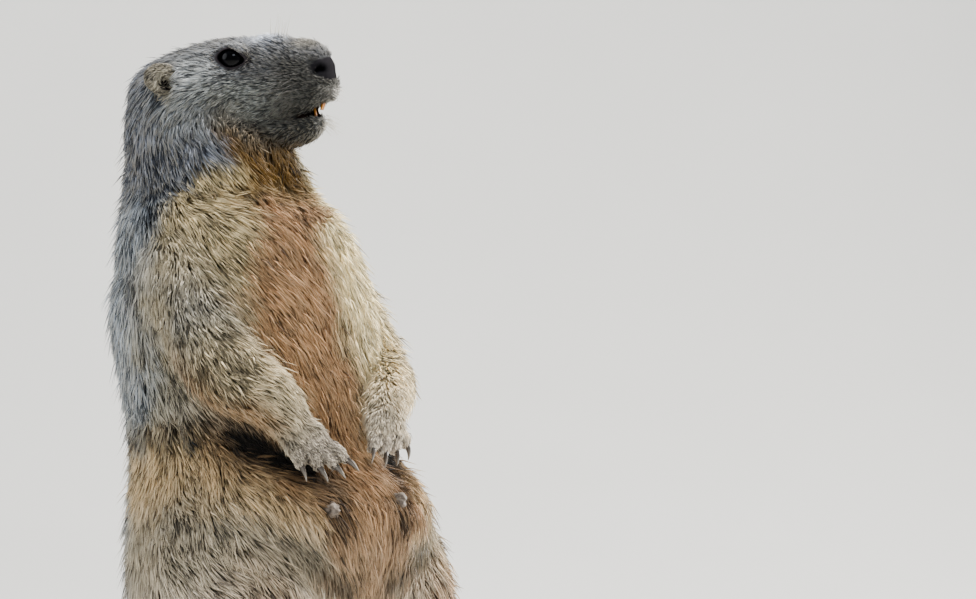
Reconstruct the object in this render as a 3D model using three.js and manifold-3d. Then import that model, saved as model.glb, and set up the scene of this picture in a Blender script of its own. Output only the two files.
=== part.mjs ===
// An alpine marmot standing upright on its hind feet, head turned to its left, forepaws hung on its belly.
// Millimetres, +Z up, +X the way the belly faces, +Y the animal's left. The origin is on the floor, under
// the middle of the whole. Every size is the furred size, out to the tips of the coat.

import * as THREE from "three";
import { mergeVertices } from "three/addons/utils/BufferGeometryUtils.js";
import Module from "manifold-3d";

const wasm = await Module();
wasm.setup();
const { Manifold, Mesh: SolidMesh } = wasm;

// Driving dimensions
const GAP = 0.3; // between touching nodes
const EYE_LEVEL = 392.5; // above the floor
const HEAD_YAW = 35; // degrees that the head is turned to its left of the belly
const EYE_STATION = { x: -20.5, y: 3 }; // where the head's own axis passes between the eyes
const NECK_CUT = 312; // level of the cut between trunk and neck
const EYE_RADIUS = 6.7;
const EYE_OUT = 22.2; // from the head's middle plane to the middle of an eye
const CLAW_LENGTH = 10.5;
const TOE_CLAW_LENGTH = 10;
const CLAW_RADIUS = 1.8; // at its root
const CLAW_BEND = 1; // radians, from a claw's root to its tip, of the left forepaw and the hind feet

// Parts of the head. A place is along the head's axis from the eyes, out to its side, and up from the
// eyes' level; radii are in the same order
const LID = [9.9, 8, 8.9]; // radii of the shell round an eye
const LID_OPENING = { out: 6, up: 0.2, radii: [5.9, 6, 4.5] }; // out from the middle of the eye
const EAR = { place: [-37, 35.5, -11], radius: 10.5, flat: 0.42, high: 0.9, tilt: 24, turn: -26 };
const EAR_CUP = { place: [1.5, 4.6, -1.5], radius: 8.1, flat: 0.62 }; // in the ear's own axes
const NOSE = { place: [46, 0, -4.6], radii: [8, 14, 7.6] };
const NOSTRIL = { place: [48.6, 13, -5], radii: [3.3, 2.6, 2.2] };
const CLEFT = { place: [55, 0, -18.5], radii: [4.2, 0.8, 7] }; // of the upper lip
const UPPER_TEETH = { along: 48, root: -18, tip: -28.4, half: 3.3 };
const LOWER_TEETH = { along: 44, root: -41, tip: -26.4, half: 2.7 };
const TOOTH = { thickness: 1.9, bend: 1.6, taper: 0.12, notch: 0.35 }; // the notch parts a pair's two teeth

// The coat: flat tapered locks over a core that lies half as deep as their roots
const COAT = {
  core: -5, // the core's level under the tips
  root: -9, // where a lock starts, under the tips
  thickness: 2.4,
  length: 60,
  width: 40,
  rowStep: 35.5,
  bottom: 94, // the lowest ring of locks on the trunk, and its highest, and the neck's
  top: 307,
  neck: 340,
  shortAbove: 354, // the hair of the head is short, and the core meets it
  fade: 26,
  whole: 0.62, // the share of a lock that must be left by what it is cut clear of
};
// How the trunk's locks vary: each pair is a least value and the range above it
const LOCK_SPREAD = {
  length: [0.9, 0.25],
  width: [0.66, 0.1],
  tip: [0.4, 2.2],
  lean: 0.14,
  height: 5,
  turn: 0.1,
};
const LOCK_LEAN = { front: 0.42, back: 0.12 }; // towards the belly, in radians
const LIMB_LOCK_SPREAD = { length: [0.88, 0.24], width: [0.74, 0.12], tip: [0.3, 1], lean: 0.16, turn: 0.1 };
// A lock along its length: share, height as a share of its root's, width and thickness as shares of its own
const LOCK_SPINE = [
  { share: 0, depth: 1, wide: 0.8, thick: 0.9 },
  { share: 0.42, depth: 0.5, wide: 1, thick: 1 },
  { share: 0.76, depth: 0.13, wide: 0.66, thick: 0.75 },
];
const TAIL_PART = 0.36; // share of the tail's length that is its root

// The trunk and neck, level by level: z, the middle's x and y, half depth, half width
const TRUNK = [
  [24, -26, 0, 6, 6],
  [30, -22, 0, 34, 30],
  [44, -12, 0, 56, 50],
  [62, -2, 0, 71, 64],
  [82, 5, 0, 80, 73],
  [102, 10, 0, 85, 78],
  [120, 14, 0, 88, 81],
  [136, 16, 0, 89, 81],
  [148, 13, 0, 86.5, 78.5],
  [158, 8.5, 0, 82.5, 75.5],
  [170, 4, 0, 78.5, 73],
  [190, 0, 0, 78, 72.5],
  [212, -5.5, 0, 78, 72],
  [235, -12, 0, 78, 73],
  [255, -15.5, 0, 76, 72],
  [270, -17.5, 0, 72, 68],
  [285, -21, 0, 68.5, 66],
  [300, -25, -2, 62.5, 61.5],
  [314, -32, -3, 55, 54],
  [325, -33, -5, 52, 51],
  [336, -33, -7, 49, 49],
  [347, -35, -9, 45, 46],
  [358, -40, -11.5, 39, 41],
  [370, -41.5, -13, 34, 36],
  [382, -43.5, -14, 26, 28],
  [391, -44, -14.5, 13, 14],
  [394, -44, -14.5, 5, 5],
];

// The head, from the nape to the nose: place along its axis from the eyes, then top, bottom and widest
// level from the eyes' level, and half width
const HEAD = [
  [-62, -16, -28, -22, 7],
  [-57, -8, -38, -22, 20],
  [-47, -0.5, -48, -22, 31],
  [-36, 4, -50, -21, 37],
  [-24, 8.8, -50, -20, 39],
  [-12, 12.2, -49, -19, 36.5],
  [-2, 13.2, -47, -18, 32],
  [7, 13.4, -45, -16, 28],
  [16, 15, -42, -15, 24.5],
  [23, 14.8, -37, -15, 22],
  [30, 12.6, -34, -14.5, 19.5],
  [38, 11.8, -31, -14, 17.4],
  [45, 9.2, -26.5, -13, 15.4],
  [50, 4.6, -23.6, -12, 12.2],
  [53.4, -5, -23.4, -13.5, 8.2],
  [55.6, -13, -21.5, -17, 3.8],
];

// The lower jaw: place along the head's axis, height from the eyes' level, half width, half height
const JAW = [
  [6, -43, 20, 8.5],
  [22, -41.8, 17.5, 8.5],
  [34, -40.4, 14, 8],
  [42, -37.9, 10.5, 6.9],
  [47.5, -34.9, 6, 4.6],
];

// Limbs, joint by joint: x, y, z, then the radii across and fore and aft. The arms hang unalike; the legs
// are given for the left side, and the right side has y the other way.
const UPPER_ARM = {
  left: [
    [-16, 46, 272, 26, 30],
    [4, 52, 248, 23, 27],
    [26, 53, 229, 20, 23],
    [43, 50, 213, 18.5, 19.5],
  ],
  right: [
    [-12, -46, 272, 26, 30],
    [8, -54, 250, 24, 28],
    [28, -60, 230, 22, 25],
    [46, -58, 213, 20.5, 23],
  ],
};
const FOREARM = {
  left: [
    [44, 50, 212, 18, 19],
    [61, 38, 206, 16.5, 17],
    [77, 24, 199, 14, 14.5],
    [87, 14, 189, 12.5, 10.5],
  ],
  right: [
    [48, -57, 212, 19, 20],
    [61, -50.5, 205, 17.5, 18],
    [69.5, -45, 195, 15, 15],
    [76, -38.5, 183, 12.5, 11],
  ],
};
// The wrist, the knuckles' and the fingertips' middles, and the way that the fingers are spread
const HAND = {
  left: [
    [87, 14, 189],
    [89.5, 14.5, 180],
    [91, 15, 173],
    [-0.12, 0.99, 0.05],
  ],
  right: [
    [76, -38.5, 183],
    [83, -35.2, 176],
    [87.8, -28, 164.8],
    [0.33, 0.93, 0.1],
  ],
};
// The way that the claws of each forepaw leave, how far they bend, and how far neighbours part
const HAND_CLAWS = {
  left: { way: [0.55, -0.15, -0.8], bend: CLAW_BEND },
  right: { way: [0.5, 0.56, -0.65], bend: 0.5 },
};
const CLAW_FAN = 0.25;
// Sizes of fingers and toes, from the inner to the outer of the left side: shares of the longest; the steps
// between neighbours at root and tip; then the radii across and fore and aft at root, knuckle and tip
const FINGERS = {
  sizes: [0.82, 1, 0.96, 0.78],
  rootStep: 7,
  tipStep: 9.2,
  radii: [[3.6, 4], [4.1, 4.3], [3.6, 3.5]],
};
const TOES = {
  sizes: [0.72, 0.94, 1, 0.95, 0.74],
  rootStep: 5.4,
  tipStep: 7.2,
  radii: [[3.8, 5], [4.1, 4.8], [3.7, 4.2]],
};
const PALM_RADII = [[11.5, 9], [13, 8.4], [13.2, 6.8]];
const FINGER = { shorter: 11, backOfRoot: 2.5, arch: 2.4, knuckle: 0.55, fall: 0.8 };
const TOE = { shortest: 8, longer: 13, ball: [68, 55], turn: 0.1 };
const TOE_LEVELS = { root: 7, knuckle: 8.2, tip: 4.6 };
const CLAW_ROOT = { inside: 1, overFinger: 1.8, toeLevel: 5.6 };
const THIGH = [
  [0, 34, 136, 30, 38],
  [20, 47, 120, 40, 44],
  [46, 53, 102, 36, 38],
  [65, 53, 86, 27, 28],
];
const SHANK = [
  [65, 53, 84, 26, 27],
  [52, 54, 60, 24, 26],
  [36, 53, 38, 20, 22],
  [24, 52, 24, 15, 16],
];
const FOOT = [
  [8, 50, 12, 11, 12],
  [24, 51, 13, 13, 14],
  [48, 53, 9, 14, 10],
  [70, 55, 7, 15, 8],
];
const TAIL = [
  [-52, 0, 60, 18, 18],
  [-72, 1, 38, 19, 18.5],
  [-92, 4, 22, 20, 18],
  [-116, 9, 17, 21.5, 17.5],
  [-144, 17, 16, 20, 16.5],
  [-170, 28, 13, 15, 13.5],
  [-188, 38, 9, 6, 7],
];
// Where a limb carries locks: shares of its length, rings of them, angles round it in radians, and their size
const ARM_COAT = {
  left: { from: 0.05, to: 0.66, rings: 3, angles: [-0.4, 2.3], length: 38, width: 24 },
  right: { from: 0.05, to: 0.66, rings: 3, angles: [-2.3, 0.4], length: 38, width: 24 },
};
const THIGH_COAT = {
  left: { from: 0.08, to: 0.66, rings: 3, angles: [-0.3, 2.8], length: 40, width: 29 },
  right: { from: 0.08, to: 0.66, rings: 3, angles: [-2.8, 0.3], length: 40, width: 29 },
};
const TAIL_COAT = { from: 0.04, to: 0.84, rings: 5, angles: [-2, 2], length: 42, width: 25, tip: 3 };
const TEATS = {
  left: { y: 17, z: 146 },
  right: { y: -31, z: 141 },
};
const TEAT_RADII = [5.2, 3.6, 4.4]; // out, across and up
const BELLY_RADIUS = 80; // on which the teats are set out
const TRUNK_RADIUS = 70; // on which a lock's lean becomes an angle round the trunk

// Colours of the coat and the bare parts
const COLOURS = {
  back: 0x8f8677,
  head: 0x77756f,
  belly: 0xb98f62,
  limb: 0xa79a80,
  paw: 0xb0a692,
  tail: 0x6b5c4a,
  horn: 0x3a332d,
  tooth: 0xc98a2e,
  eye: 0x0d0a09,
  nose: 0x1c1a1a,
  teat: 0x8d8279,
};

const radians = THREE.MathUtils.degToRad;
const vector = (p) => new THREE.Vector3(p[0], p[1], p[2]);
const UP = new THREE.Vector3(0, 0, 1);
const SIDES = { left: 1, right: -1 };
const mirrored = (rows, side) => rows.map(([x, y, ...rest]) => [x, side * y, ...rest]);

const headForward = new THREE.Vector3(1, 0, 0).applyAxisAngle(UP, radians(HEAD_YAW));
const headLeft = new THREE.Vector3(0, 1, 0).applyAxisAngle(UP, radians(HEAD_YAW));

// A point of the head: along its axis from the eyes, out to its left, up from the eyes' level
function onHead(along, out, up) {
  return new THREE.Vector3(EYE_STATION.x, EYE_STATION.y, EYE_LEVEL + up)
    .addScaledVector(headForward, along)
    .addScaledVector(headLeft, out);
}

// Every column of a table of stations, on a Catmull-Rom spline through the rows, at a share 0 to 1 of the way
function stationAt(rows, share) {
  const place = share * (rows.length - 1);
  const row = Math.min(Math.floor(place), rows.length - 2);
  const t = place - row;
  const before = rows[Math.max(row - 1, 0)];
  const after = rows[Math.min(row + 2, rows.length - 1)];
  return rows[row].map((a, column) => {
    const b = rows[row + 1][column];
    const slopeA = (b - before[column]) / 2;
    const slopeB = (after[column] - a) / 2;
    const square = 3 * (b - a) - 2 * slopeA - slopeB;
    const cube = 2 * (a - b) + slopeA + slopeB;
    return a + slopeA * t + square * t ** 2 + cube * t ** 3;
  });
}

const sampled = (rows, count) => Array.from({ length: count + 1 }, (_, i) => stationAt(rows, i / count));

// One closed ring of points: reach gives the radii along +first, -first and along second
function ring(centre, first, second, reach, sides, roundness = 2) {
  const power = 2 / roundness;
  const shaped = (v) => Math.sign(v) * Math.abs(v) ** power;
  return Array.from({ length: sides }, (_, i) => {
    const angle = (2 * Math.PI * i) / sides;
    const a = shaped(Math.cos(angle));
    const b = shaped(Math.sin(angle));
    return centre
      .clone()
      .addScaledVector(first, a * (a > 0 ? reach.up : reach.down))
      .addScaledVector(second, b * reach.side);
  });
}

// A solid from points and triangles, turned so that its faces point out
function solidOf(points, triangles) {
  const made = (faces) =>
    new Manifold(
      new SolidMesh({
        numProp: 3,
        vertProperties: new Float32Array(points.flatMap((p) => [p.x, p.y, p.z])),
        triVerts: new Uint32Array(faces.flat()),
      }),
    );
  const solid = made(triangles);
  return solid.volume() < 0 ? made(triangles.map(([a, b, c]) => [a, c, b])) : solid;
}

// A solid from a three.js geometry
function solidFrom(geometry) {
  const bare = geometry.clone();
  bare.deleteAttribute("normal");
  bare.deleteAttribute("uv");
  const merged = mergeVertices(bare, 1e-4);
  const { array } = merged.attributes.position;
  const points = Array.from({ length: array.length / 3 }, (_, i) => vector(array.slice(3 * i, 3 * i + 3)));
  const index = Array.from(merged.index.array);
  const triangles = Array.from({ length: index.length / 3 }, (_, i) => index.slice(3 * i, 3 * i + 3));
  return solidOf(points, triangles);
}

// A skin over rings of points, closed by a fan at each end
function loft(rings) {
  const sides = rings[0].length;
  const last = rings.length - 1;
  const sum = (points) => points.reduce((total, p) => total.add(p), new THREE.Vector3());
  const middle = (points) => sum(points).divideScalar(points.length);
  const points = [...rings.flat(), middle(rings[0]), middle(rings[last])];
  const triangles = [];
  for (let i = 0; i < sides; i++) {
    const next = (i + 1) % sides;
    for (let r = 0; r < last; r++) {
      const [a, b, c, d] = [r * sides + i, r * sides + next, (r + 1) * sides + next, (r + 1) * sides + i];
      triangles.push([a, b, c], [a, c, d]);
    }
    triangles.push([points.length - 2, next, i]);
    triangles.push([points.length - 1, last * sides + i, last * sides + next]);
  }
  return solidOf(points, triangles);
}

// A limb through its stations, with round ends; the section's wide axis stays level where it can
function limb(rows, { sides = 12, steps = 8, grow = 0, level = UP, endSteps = 2 } = {}) {
  const stations = sampled(rows, steps);
  const at = (i) => vector(stations[i]);
  const rings = [];
  const add = (centre, tangent, wide, deep, share) => {
    const across = new THREE.Vector3().crossVectors(level, tangent).normalize();
    const fore = new THREE.Vector3().crossVectors(tangent, across).normalize();
    const reach = { up: deep * share, down: deep * share, side: wide * share };
    rings.push(ring(centre, fore, across, reach, sides));
  };
  const cap = (i, tangent, sign) => {
    const [wide, deep] = stations[i].slice(3).map((r) => r + grow);
    const turn = (Math.PI / 2) * (1.08 / (endSteps + 1));
    const angles = Array.from({ length: endSteps }, (_, k) => (k + 1) * turn);
    const caps = sign < 0 ? angles.reverse() : angles;
    for (const angle of caps) {
      const centre = at(i).addScaledVector(tangent, sign * Math.min(wide, deep) * Math.sin(angle));
      add(centre, tangent, wide, deep, Math.cos(angle));
    }
  };
  const tangents = stations.map((_, i) => at(Math.min(i + 1, steps)).sub(at(Math.max(i - 1, 0))).normalize());
  cap(0, tangents[0], -1);
  stations.forEach((row, i) => add(at(i), tangents[i], row[3] + grow, row[4] + grow, 1));
  cap(steps, tangents[steps], 1);
  return loft(rings);
}

// A number from 0 to 1 that looks random and is the same for the same three numbers
function chance(a, b, c) {
  const wave = Math.sin(a * 12.9898 + b * 78.233 + c * 37.719) * 43758.5453;
  return wave - Math.floor(wave);
}

// The frame of a limb at a share of the way along it
function limbFrame(rows, share, level = UP) {
  const [x, y, z, wide, deep] = stationAt(rows, share);
  const ahead = vector(stationAt(rows, Math.min(share + 0.02, 1)));
  const tangent = ahead.sub(vector(stationAt(rows, Math.min(share, 0.98)))).normalize();
  const across = new THREE.Vector3().crossVectors(level, tangent).normalize();
  const fore = new THREE.Vector3().crossVectors(tangent, across).normalize();
  return { centre: new THREE.Vector3(x, y, z), across, fore, wide, deep };
}

// A limb's surface, for what grows on it: a place is a share along and an angle round
function limbSurface(rows) {
  const length = vector(rows[0]).distanceTo(vector(rows[rows.length - 1]));
  return {
    at([share, angle], lift) {
      const { centre, across, fore, wide, deep } = limbFrame(rows, Math.min(share, 1));
      return centre
        .addScaledVector(across, (wide + lift) * Math.sin(angle))
        .addScaledVector(fore, (deep + lift) * Math.cos(angle));
    },
    step: ([share, angle], along, across) => [share + along / length, angle + across / rows[1][3]],
  };
}

// The trunk's and neck's surface: a place is a height and an angle round from the belly
const trunkSurface = {
  at: ([height, angle], lift) => onTrunk(height, angle, lift),
  step: ([height, angle], along, across) => [height - along, angle + across / TRUNK_RADIUS],
};

// A flat lock that leaves a surface at a place, lies along it and lifts off it to a pointed tip
function lock(surface, place, { length, width, lean, tip }, grow = 0) {
  const spotAt = (share) => {
    const along = share * (length + 2 * grow) - grow;
    const bend = lean * share ** 1.3;
    return surface.step(place, along * Math.cos(bend), along * Math.sin(bend));
  };
  const points = LOCK_SPINE.flatMap(({ share, depth, wide, thick }) => {
    const lift = COAT.root * depth;
    const spot = spotAt(share);
    const middle = surface.at(spot, lift);
    const out = surface.at(spot, lift + 1).sub(middle).normalize();
    const next = surface.at(surface.step(spot, Math.cos(lean), Math.sin(lean)), lift);
    const side = next.sub(middle).cross(out).normalize().multiplyScalar((width / 2) * wide + grow);
    const top = middle.clone().addScaledVector(out, COAT.thickness * thick + grow);
    const under = out.clone().multiplyScalar(-grow);
    return [middle.clone().add(side).add(under), top, middle.clone().sub(side).add(under)];
  });
  points.push(surface.at(spotAt(1), tip));
  const last = points.length - 1;
  const triangles = [[2, 1, 0]];
  for (let start = 0; start < last; start += 3) {
    for (let k = 0; k < 3; k++) {
      const [a, b] = [start + k, start + ((k + 1) % 3)];
      if (start + 3 < last) triangles.push([a, b, b + 3], [a, b + 3, a + 3]);
      else triangles.push([a, b, last]);
    }
  }
  return solidOf(points, triangles);
}

const cutBy = (solid, ...others) => others.reduce((left, other) => left.subtract(other), solid);

// The locks that a room leaves mostly whole, cut clear of it
function clearOf(locks, room) {
  const cut = locks.map((one) => ({ whole: one.volume(), left: one.subtract(room) }));
  const kept = cut.filter(({ whole, left }) => left.volume() > COAT.whole * whole);
  return Manifold.union(kept.map(({ left }) => left));
}

const largest = (solid) => solid.decompose().sort((a, b) => b.volume() - a.volume())[0];
const onFloor = (solid) => solid.trimByPlane([0, 0, 1], 0);

// The trunk and neck in one form, before they are parted, out to the tips or only to the core under the locks
function trunkForm(grow, isCore = false) {
  const forward = new THREE.Vector3(1, 0, 0);
  const left = new THREE.Vector3(0, 1, 0);
  const rings = sampled(TRUNK, 18).map(([z, x, y, deep, wide]) => {
    const share = THREE.MathUtils.clamp((COAT.shortAbove - z) / COAT.fade, 0, 1);
    const lift = grow + (isCore ? COAT.core * share : 0);
    const [up, side] = [deep + lift, wide + lift].map((radius) => Math.max(radius, 4));
    return ring(new THREE.Vector3(x, y, z), forward, left, { up, down: up, side }, 18, 2.1);
  });
  return loft(rings);
}

// The trunk's station at a height
function trunkStation(height) {
  let [low, high] = [0, 1];
  for (let i = 0; i < 24; i++) {
    const middle = (low + high) / 2;
    if (stationAt(TRUNK, middle)[0] < height) low = middle;
    else high = middle;
  }
  return stationAt(TRUNK, low);
}

// A point of the trunk's or neck's surface at a height and an angle round from the belly
function onTrunk(height, angle, lift = 0) {
  const [z, x, y, deep, wide] = trunkStation(height);
  return new THREE.Vector3(x + (deep + lift) * Math.cos(angle), y + (wide + lift) * Math.sin(angle), z);
}

const spreadOf = ([least, range], share) => least + range * share;

// Rings of locks round the trunk or neck between two heights; the hair runs down and round to the belly
function trunkLocks(bottom, top, grow = 0) {
  const locks = [];
  const rows = Math.round((top - bottom) / COAT.rowStep);
  for (let row = 0; row <= rows; row++) {
    const height = top - row * COAT.rowStep;
    const [, , , deep, wide] = trunkStation(height);
    const count = Math.round((Math.PI * (deep + wide)) / COAT.width);
    for (let i = 0; i < count; i++) {
      const turn = LOCK_SPREAD.turn * (chance(row, i, height) - 0.5);
      const angle = (2 * Math.PI * (i + 0.5 * (row % 2) + turn)) / count;
      const towardsBelly = -Math.sin(angle) * (Math.cos(angle) > -0.7 ? LOCK_LEAN.front : LOCK_LEAN.back);
      const size = {
        length: COAT.length * spreadOf(LOCK_SPREAD.length, chance(i, row, 2)),
        width: COAT.width * spreadOf(LOCK_SPREAD.width, chance(i, row, 3)),
        lean: towardsBelly + LOCK_SPREAD.lean * (chance(i, row, 4) - 0.5),
        tip: spreadOf(LOCK_SPREAD.tip, chance(i, row, 5)),
      };
      const start = height + LOCK_SPREAD.height * (chance(i, row, 6) - 0.5);
      locks.push(lock(trunkSurface, [start, angle], size, grow));
    }
  }
  return locks;
}

// Locks along a limb, from one share of it to another, over the angles round it that are in the open
function limbLocks(rows, { from, to, rings, angles, length, width, tip = 1.5 }) {
  const surface = limbSurface(rows);
  const locks = [];
  for (let ringNumber = 0; ringNumber < rings; ringNumber++) {
    const share = from + ((to - from) * ringNumber) / Math.max(rings - 1, 1);
    const radius = (stationAt(rows, share)[3] + stationAt(rows, share)[4]) / 2;
    const count = Math.max(Math.round(((angles[1] - angles[0]) * radius) / width), 2);
    for (let i = 0; i < count; i++) {
      const turn = LIMB_LOCK_SPREAD.turn * (chance(ringNumber, i, 7) - 0.5);
      const spot = (i + 0.5 * (ringNumber % 2) + turn) / count;
      const size = {
        length: length * spreadOf(LIMB_LOCK_SPREAD.length, chance(ringNumber, i, 8)),
        width: width * spreadOf(LIMB_LOCK_SPREAD.width, chance(ringNumber, i, 9)),
        lean: LIMB_LOCK_SPREAD.lean * (chance(ringNumber, i, 10) - 0.5),
        tip: tip * spreadOf(LIMB_LOCK_SPREAD.tip, chance(ringNumber, i, 11)),
      };
      locks.push(lock(surface, [share, angles[0] + (angles[1] - angles[0]) * spot], size));
    }
  }
  return locks;
}

function headForm(grow = 0) {
  const rings = sampled(HEAD, 20).map(([along, top, bottom, widest, half]) => {
    const reach = { up: top - widest + grow, down: widest - bottom + grow, side: half + grow };
    return ring(onHead(along, 0, widest), UP, headLeft, reach, 20, 2.2);
  });
  return loft(rings);
}

function jawForm(grow = 0) {
  const rings = sampled(JAW, 6).map(([along, up, wide, deep]) => {
    const reach = { up: deep + grow, down: deep + grow, side: wide + grow };
    return ring(onHead(along, 0, up), UP, headLeft, reach, 12, 2.2);
  });
  return loft(rings);
}

// A sphere stretched along the head's axis, its left and up
function headBall(centre, [along, out, up], detail = [10, 7]) {
  const ball = new THREE.SphereGeometry(1, detail[0], detail[1]);
  const turn = new THREE.Matrix4().makeBasis(headForward, headLeft, UP);
  ball.applyMatrix4(new THREE.Matrix4().makeScale(along, out, up)).applyMatrix4(turn);
  return solidFrom(ball.translate(centre.x, centre.y, centre.z));
}

const eyeCentre = (side) => onHead(0, side * EYE_OUT, 0);

function eyeForm(side, grow = 0) {
  const radius = EYE_RADIUS + grow;
  return headBall(eyeCentre(side), [radius, radius, radius], [12, 8]);
}

// The lids: a shell round the eye, with an opening that is longer than it is high
function lidded(head, side) {
  const lid = headBall(eyeCentre(side), LID);
  const before = onHead(0, side * (EYE_OUT + LID_OPENING.out), LID_OPENING.up);
  const opening = headBall(before, LID_OPENING.radii, [10, 5]);
  return head.add(lid).subtract(opening).subtract(eyeForm(side, GAP));
}

// The ear: a shallow round cup on a short neck, facing out and forward
function earForm(side) {
  const outer = new THREE.SphereGeometry(EAR.radius, 12, 7).scale(1, EAR.flat, EAR.high);
  const inner = new THREE.SphereGeometry(EAR_CUP.radius, 11, 6).scale(1, EAR_CUP.flat, EAR.high);
  const cup = solidFrom(outer).subtract(solidFrom(inner.translate(...EAR_CUP.place)));
  const basis = new THREE.Matrix4().makeBasis(headForward, headLeft.clone().multiplyScalar(side), UP);
  const [along, out, up] = EAR.place;
  const turned = new THREE.Euler(radians(EAR.tilt), 0, radians(EAR.turn));
  const place = new THREE.Matrix4()
    .makeTranslation(...onHead(along, side * out, up).toArray())
    .multiply(basis)
    .multiply(new THREE.Matrix4().makeRotationFromEuler(turned));
  return cup.transform(place.elements);
}

const noseForm = (grow) =>
  headBall(
    onHead(...NOSE.place),
    NOSE.radii.map((radius) => radius + grow),
    [12, 7],
  );

// The bare end of the nose, with its nostrils
function nosePad() {
  const [along, out, up] = NOSTRIL.place;
  const hole = (side) => headBall(onHead(along, side * out, up), NOSTRIL.radii, [8, 5]);
  return cutBy(noseForm(0), hole(1), hole(-1));
}

// A pair of incisors side by side: a bent, tapered blade
function incisors({ along, root, tip, half }, grow = 0) {
  const length = Math.abs(tip - root);
  const sizes = [TOOTH.thickness, 2 * half, length].map((size) => size + 2 * grow);
  const shape = new THREE.BoxGeometry(...sizes, 1, 2, 3);
  const place = shape.attributes.position;
  const middle = (root + tip) / 2;
  for (let i = 0; i < place.count; i++) {
    const [x, y, z] = [place.getX(i), place.getY(i), place.getZ(i)];
    const share = Math.abs(z + middle - root) / length;
    const notch = y === 0 ? TOOTH.notch : 0;
    const back = TOOTH.bend * share ** 2 + notch;
    const bent = onHead(along + x * (1 - 0.5 * share) - back, y * (1 - TOOTH.taper * share), z + middle);
    place.setXYZ(i, bent.x, bent.y, bent.z);
  }
  return solidFrom(shape);
}

// A claw: a cone bent along an arc from its root, leaving along one way and bending to another
function claw(root, ahead, down, length, radius, fullBend = CLAW_BEND) {
  const sides = 5;
  const steps = 3;
  const across = new THREE.Vector3().crossVectors(ahead, down).normalize();
  const rings = Array.from({ length: steps + 1 }, (_, i) => {
    const share = i / steps;
    const bend = fullBend * share;
    const centre = root
      .clone()
      .addScaledVector(ahead, (length * Math.sin(bend)) / fullBend)
      .addScaledVector(down, (length * (1 - Math.cos(bend))) / fullBend);
    const tangent = ahead.clone().multiplyScalar(Math.cos(bend)).addScaledVector(down, Math.sin(bend));
    const fore = new THREE.Vector3().crossVectors(tangent, across).normalize();
    const size = radius * (1 - 0.86 * share ** 1.3);
    return ring(centre, fore, across, { up: size * 1.15, down: size * 1.15, side: size * 0.8 }, sides);
  });
  return loft(rings);
}

const DIGIT_MESH = { sides: 6, steps: 2, endSteps: 1 };

// Stations of a limb from its joints and its radii at them
const withRadii = (joints, radii) => joints.map((joint, i) => [...joint.toArray(), ...radii[i]]);

// A forepaw: palm, four fingers and the frame that its claws leave from
function hand(name, grow = 0) {
  const [from, to, end, spread] = HAND[name].map(vector);
  const along = end.clone().sub(to).normalize();
  spread.normalize();
  const back = new THREE.Vector3().crossVectors(along, spread).normalize();
  const middle = from.clone().lerp(to, 0.55).addScaledVector(back, 1.2);
  const palm = limb(withRadii([from, middle, to], PALM_RADII), { sides: 10, steps: 3, grow, level: back });
  const { sizes, rootStep, tipStep, radii } = FINGERS;
  const fingers = sizes.map((size, i) => {
    const out = i - (sizes.length - 1) / 2;
    const root = to.clone().addScaledVector(spread, out * rootStep).addScaledVector(along, -FINGER.backOfRoot);
    const reach = (size - 1) * FINGER.shorter - Math.abs(out) * FINGER.fall;
    const tip = end.clone().addScaledVector(spread, out * tipStep).addScaledVector(along, reach);
    const knuckle = root.clone().lerp(tip, FINGER.knuckle).addScaledVector(back, FINGER.arch);
    return { root, knuckle, tip, out };
  });
  const digits = fingers.map(({ root, knuckle, tip }) =>
    limb(withRadii([root, knuckle, tip], radii), { ...DIGIT_MESH, grow, level: back }),
  );
  return { solid: Manifold.union([palm, ...digits]), fingers, back, spread };
}

// A hind foot: heel, sole and five toes, flat on the floor
function foot(side, grow = 0) {
  const sole = limb(mirrored(FOOT, side), { sides: 10, steps: 4, grow });
  const ahead = new THREE.Vector3(1, side * TOE.turn, 0).normalize();
  const across = new THREE.Vector3(-ahead.y, ahead.x, 0);
  const ball = new THREE.Vector3(TOE.ball[0], side * TOE.ball[1], 0);
  const { sizes, rootStep, tipStep, radii } = TOES;
  const toes = sizes.map((size, i) => {
    const out = (i - (sizes.length - 1) / 2) * side;
    const reach = TOE.shortest + TOE.longer * size;
    const root = ball.clone().addScaledVector(across, out * rootStep).setZ(TOE_LEVELS.root);
    const end = ball.clone().addScaledVector(across, out * tipStep).addScaledVector(ahead, reach);
    const tip = end.setZ(TOE_LEVELS.tip);
    const knuckle = root.clone().lerp(tip, 0.5).setZ(TOE_LEVELS.knuckle);
    return { root, knuckle, tip };
  });
  const digits = toes.map(({ root, knuckle, tip }) =>
    limb(withRadii([root, knuckle, tip], radii), { ...DIGIT_MESH, grow }),
  );
  return { solid: onFloor(Manifold.union([sole, ...digits])), toes };
}

function teat({ y, z }, grow = 0) {
  const angle = Math.asin(y / BELLY_RADIUS);
  const ball = new THREE.SphereGeometry(1, 8, 6).scale(...TEAT_RADII.map((radius) => radius + grow));
  return solidFrom(ball.rotateZ(angle).translate(...onTrunk(z, angle).toArray()));
}

// Nodes, from the middle of the body outwards. Each is cut clear of the core that it grows from, and the
// locks of that core are cut clear of it
const nodes = {};
const trunkCore = onFloor(trunkForm(0, true));
const grownCore = trunkForm(GAP, true);
const grownHead = headForm(GAP);
const grownJaw = jawForm(GAP);

const armForm = (name, grow) => limb(UPPER_ARM[name], { sides: 11, steps: 5, grow });
const foreForm = (name, grow) => limb(FOREARM[name], { sides: 10, steps: 5, grow });
const thighForm = (side, grow) => limb(mirrored(THIGH, side), { sides: 12, steps: 5, grow });
const shankForm = (side, grow) => limb(mirrored(SHANK, side), { sides: 10, steps: 4, grow });
const tailForm = (grow) => limb(TAIL, { sides: 10, steps: 11, grow });

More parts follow.
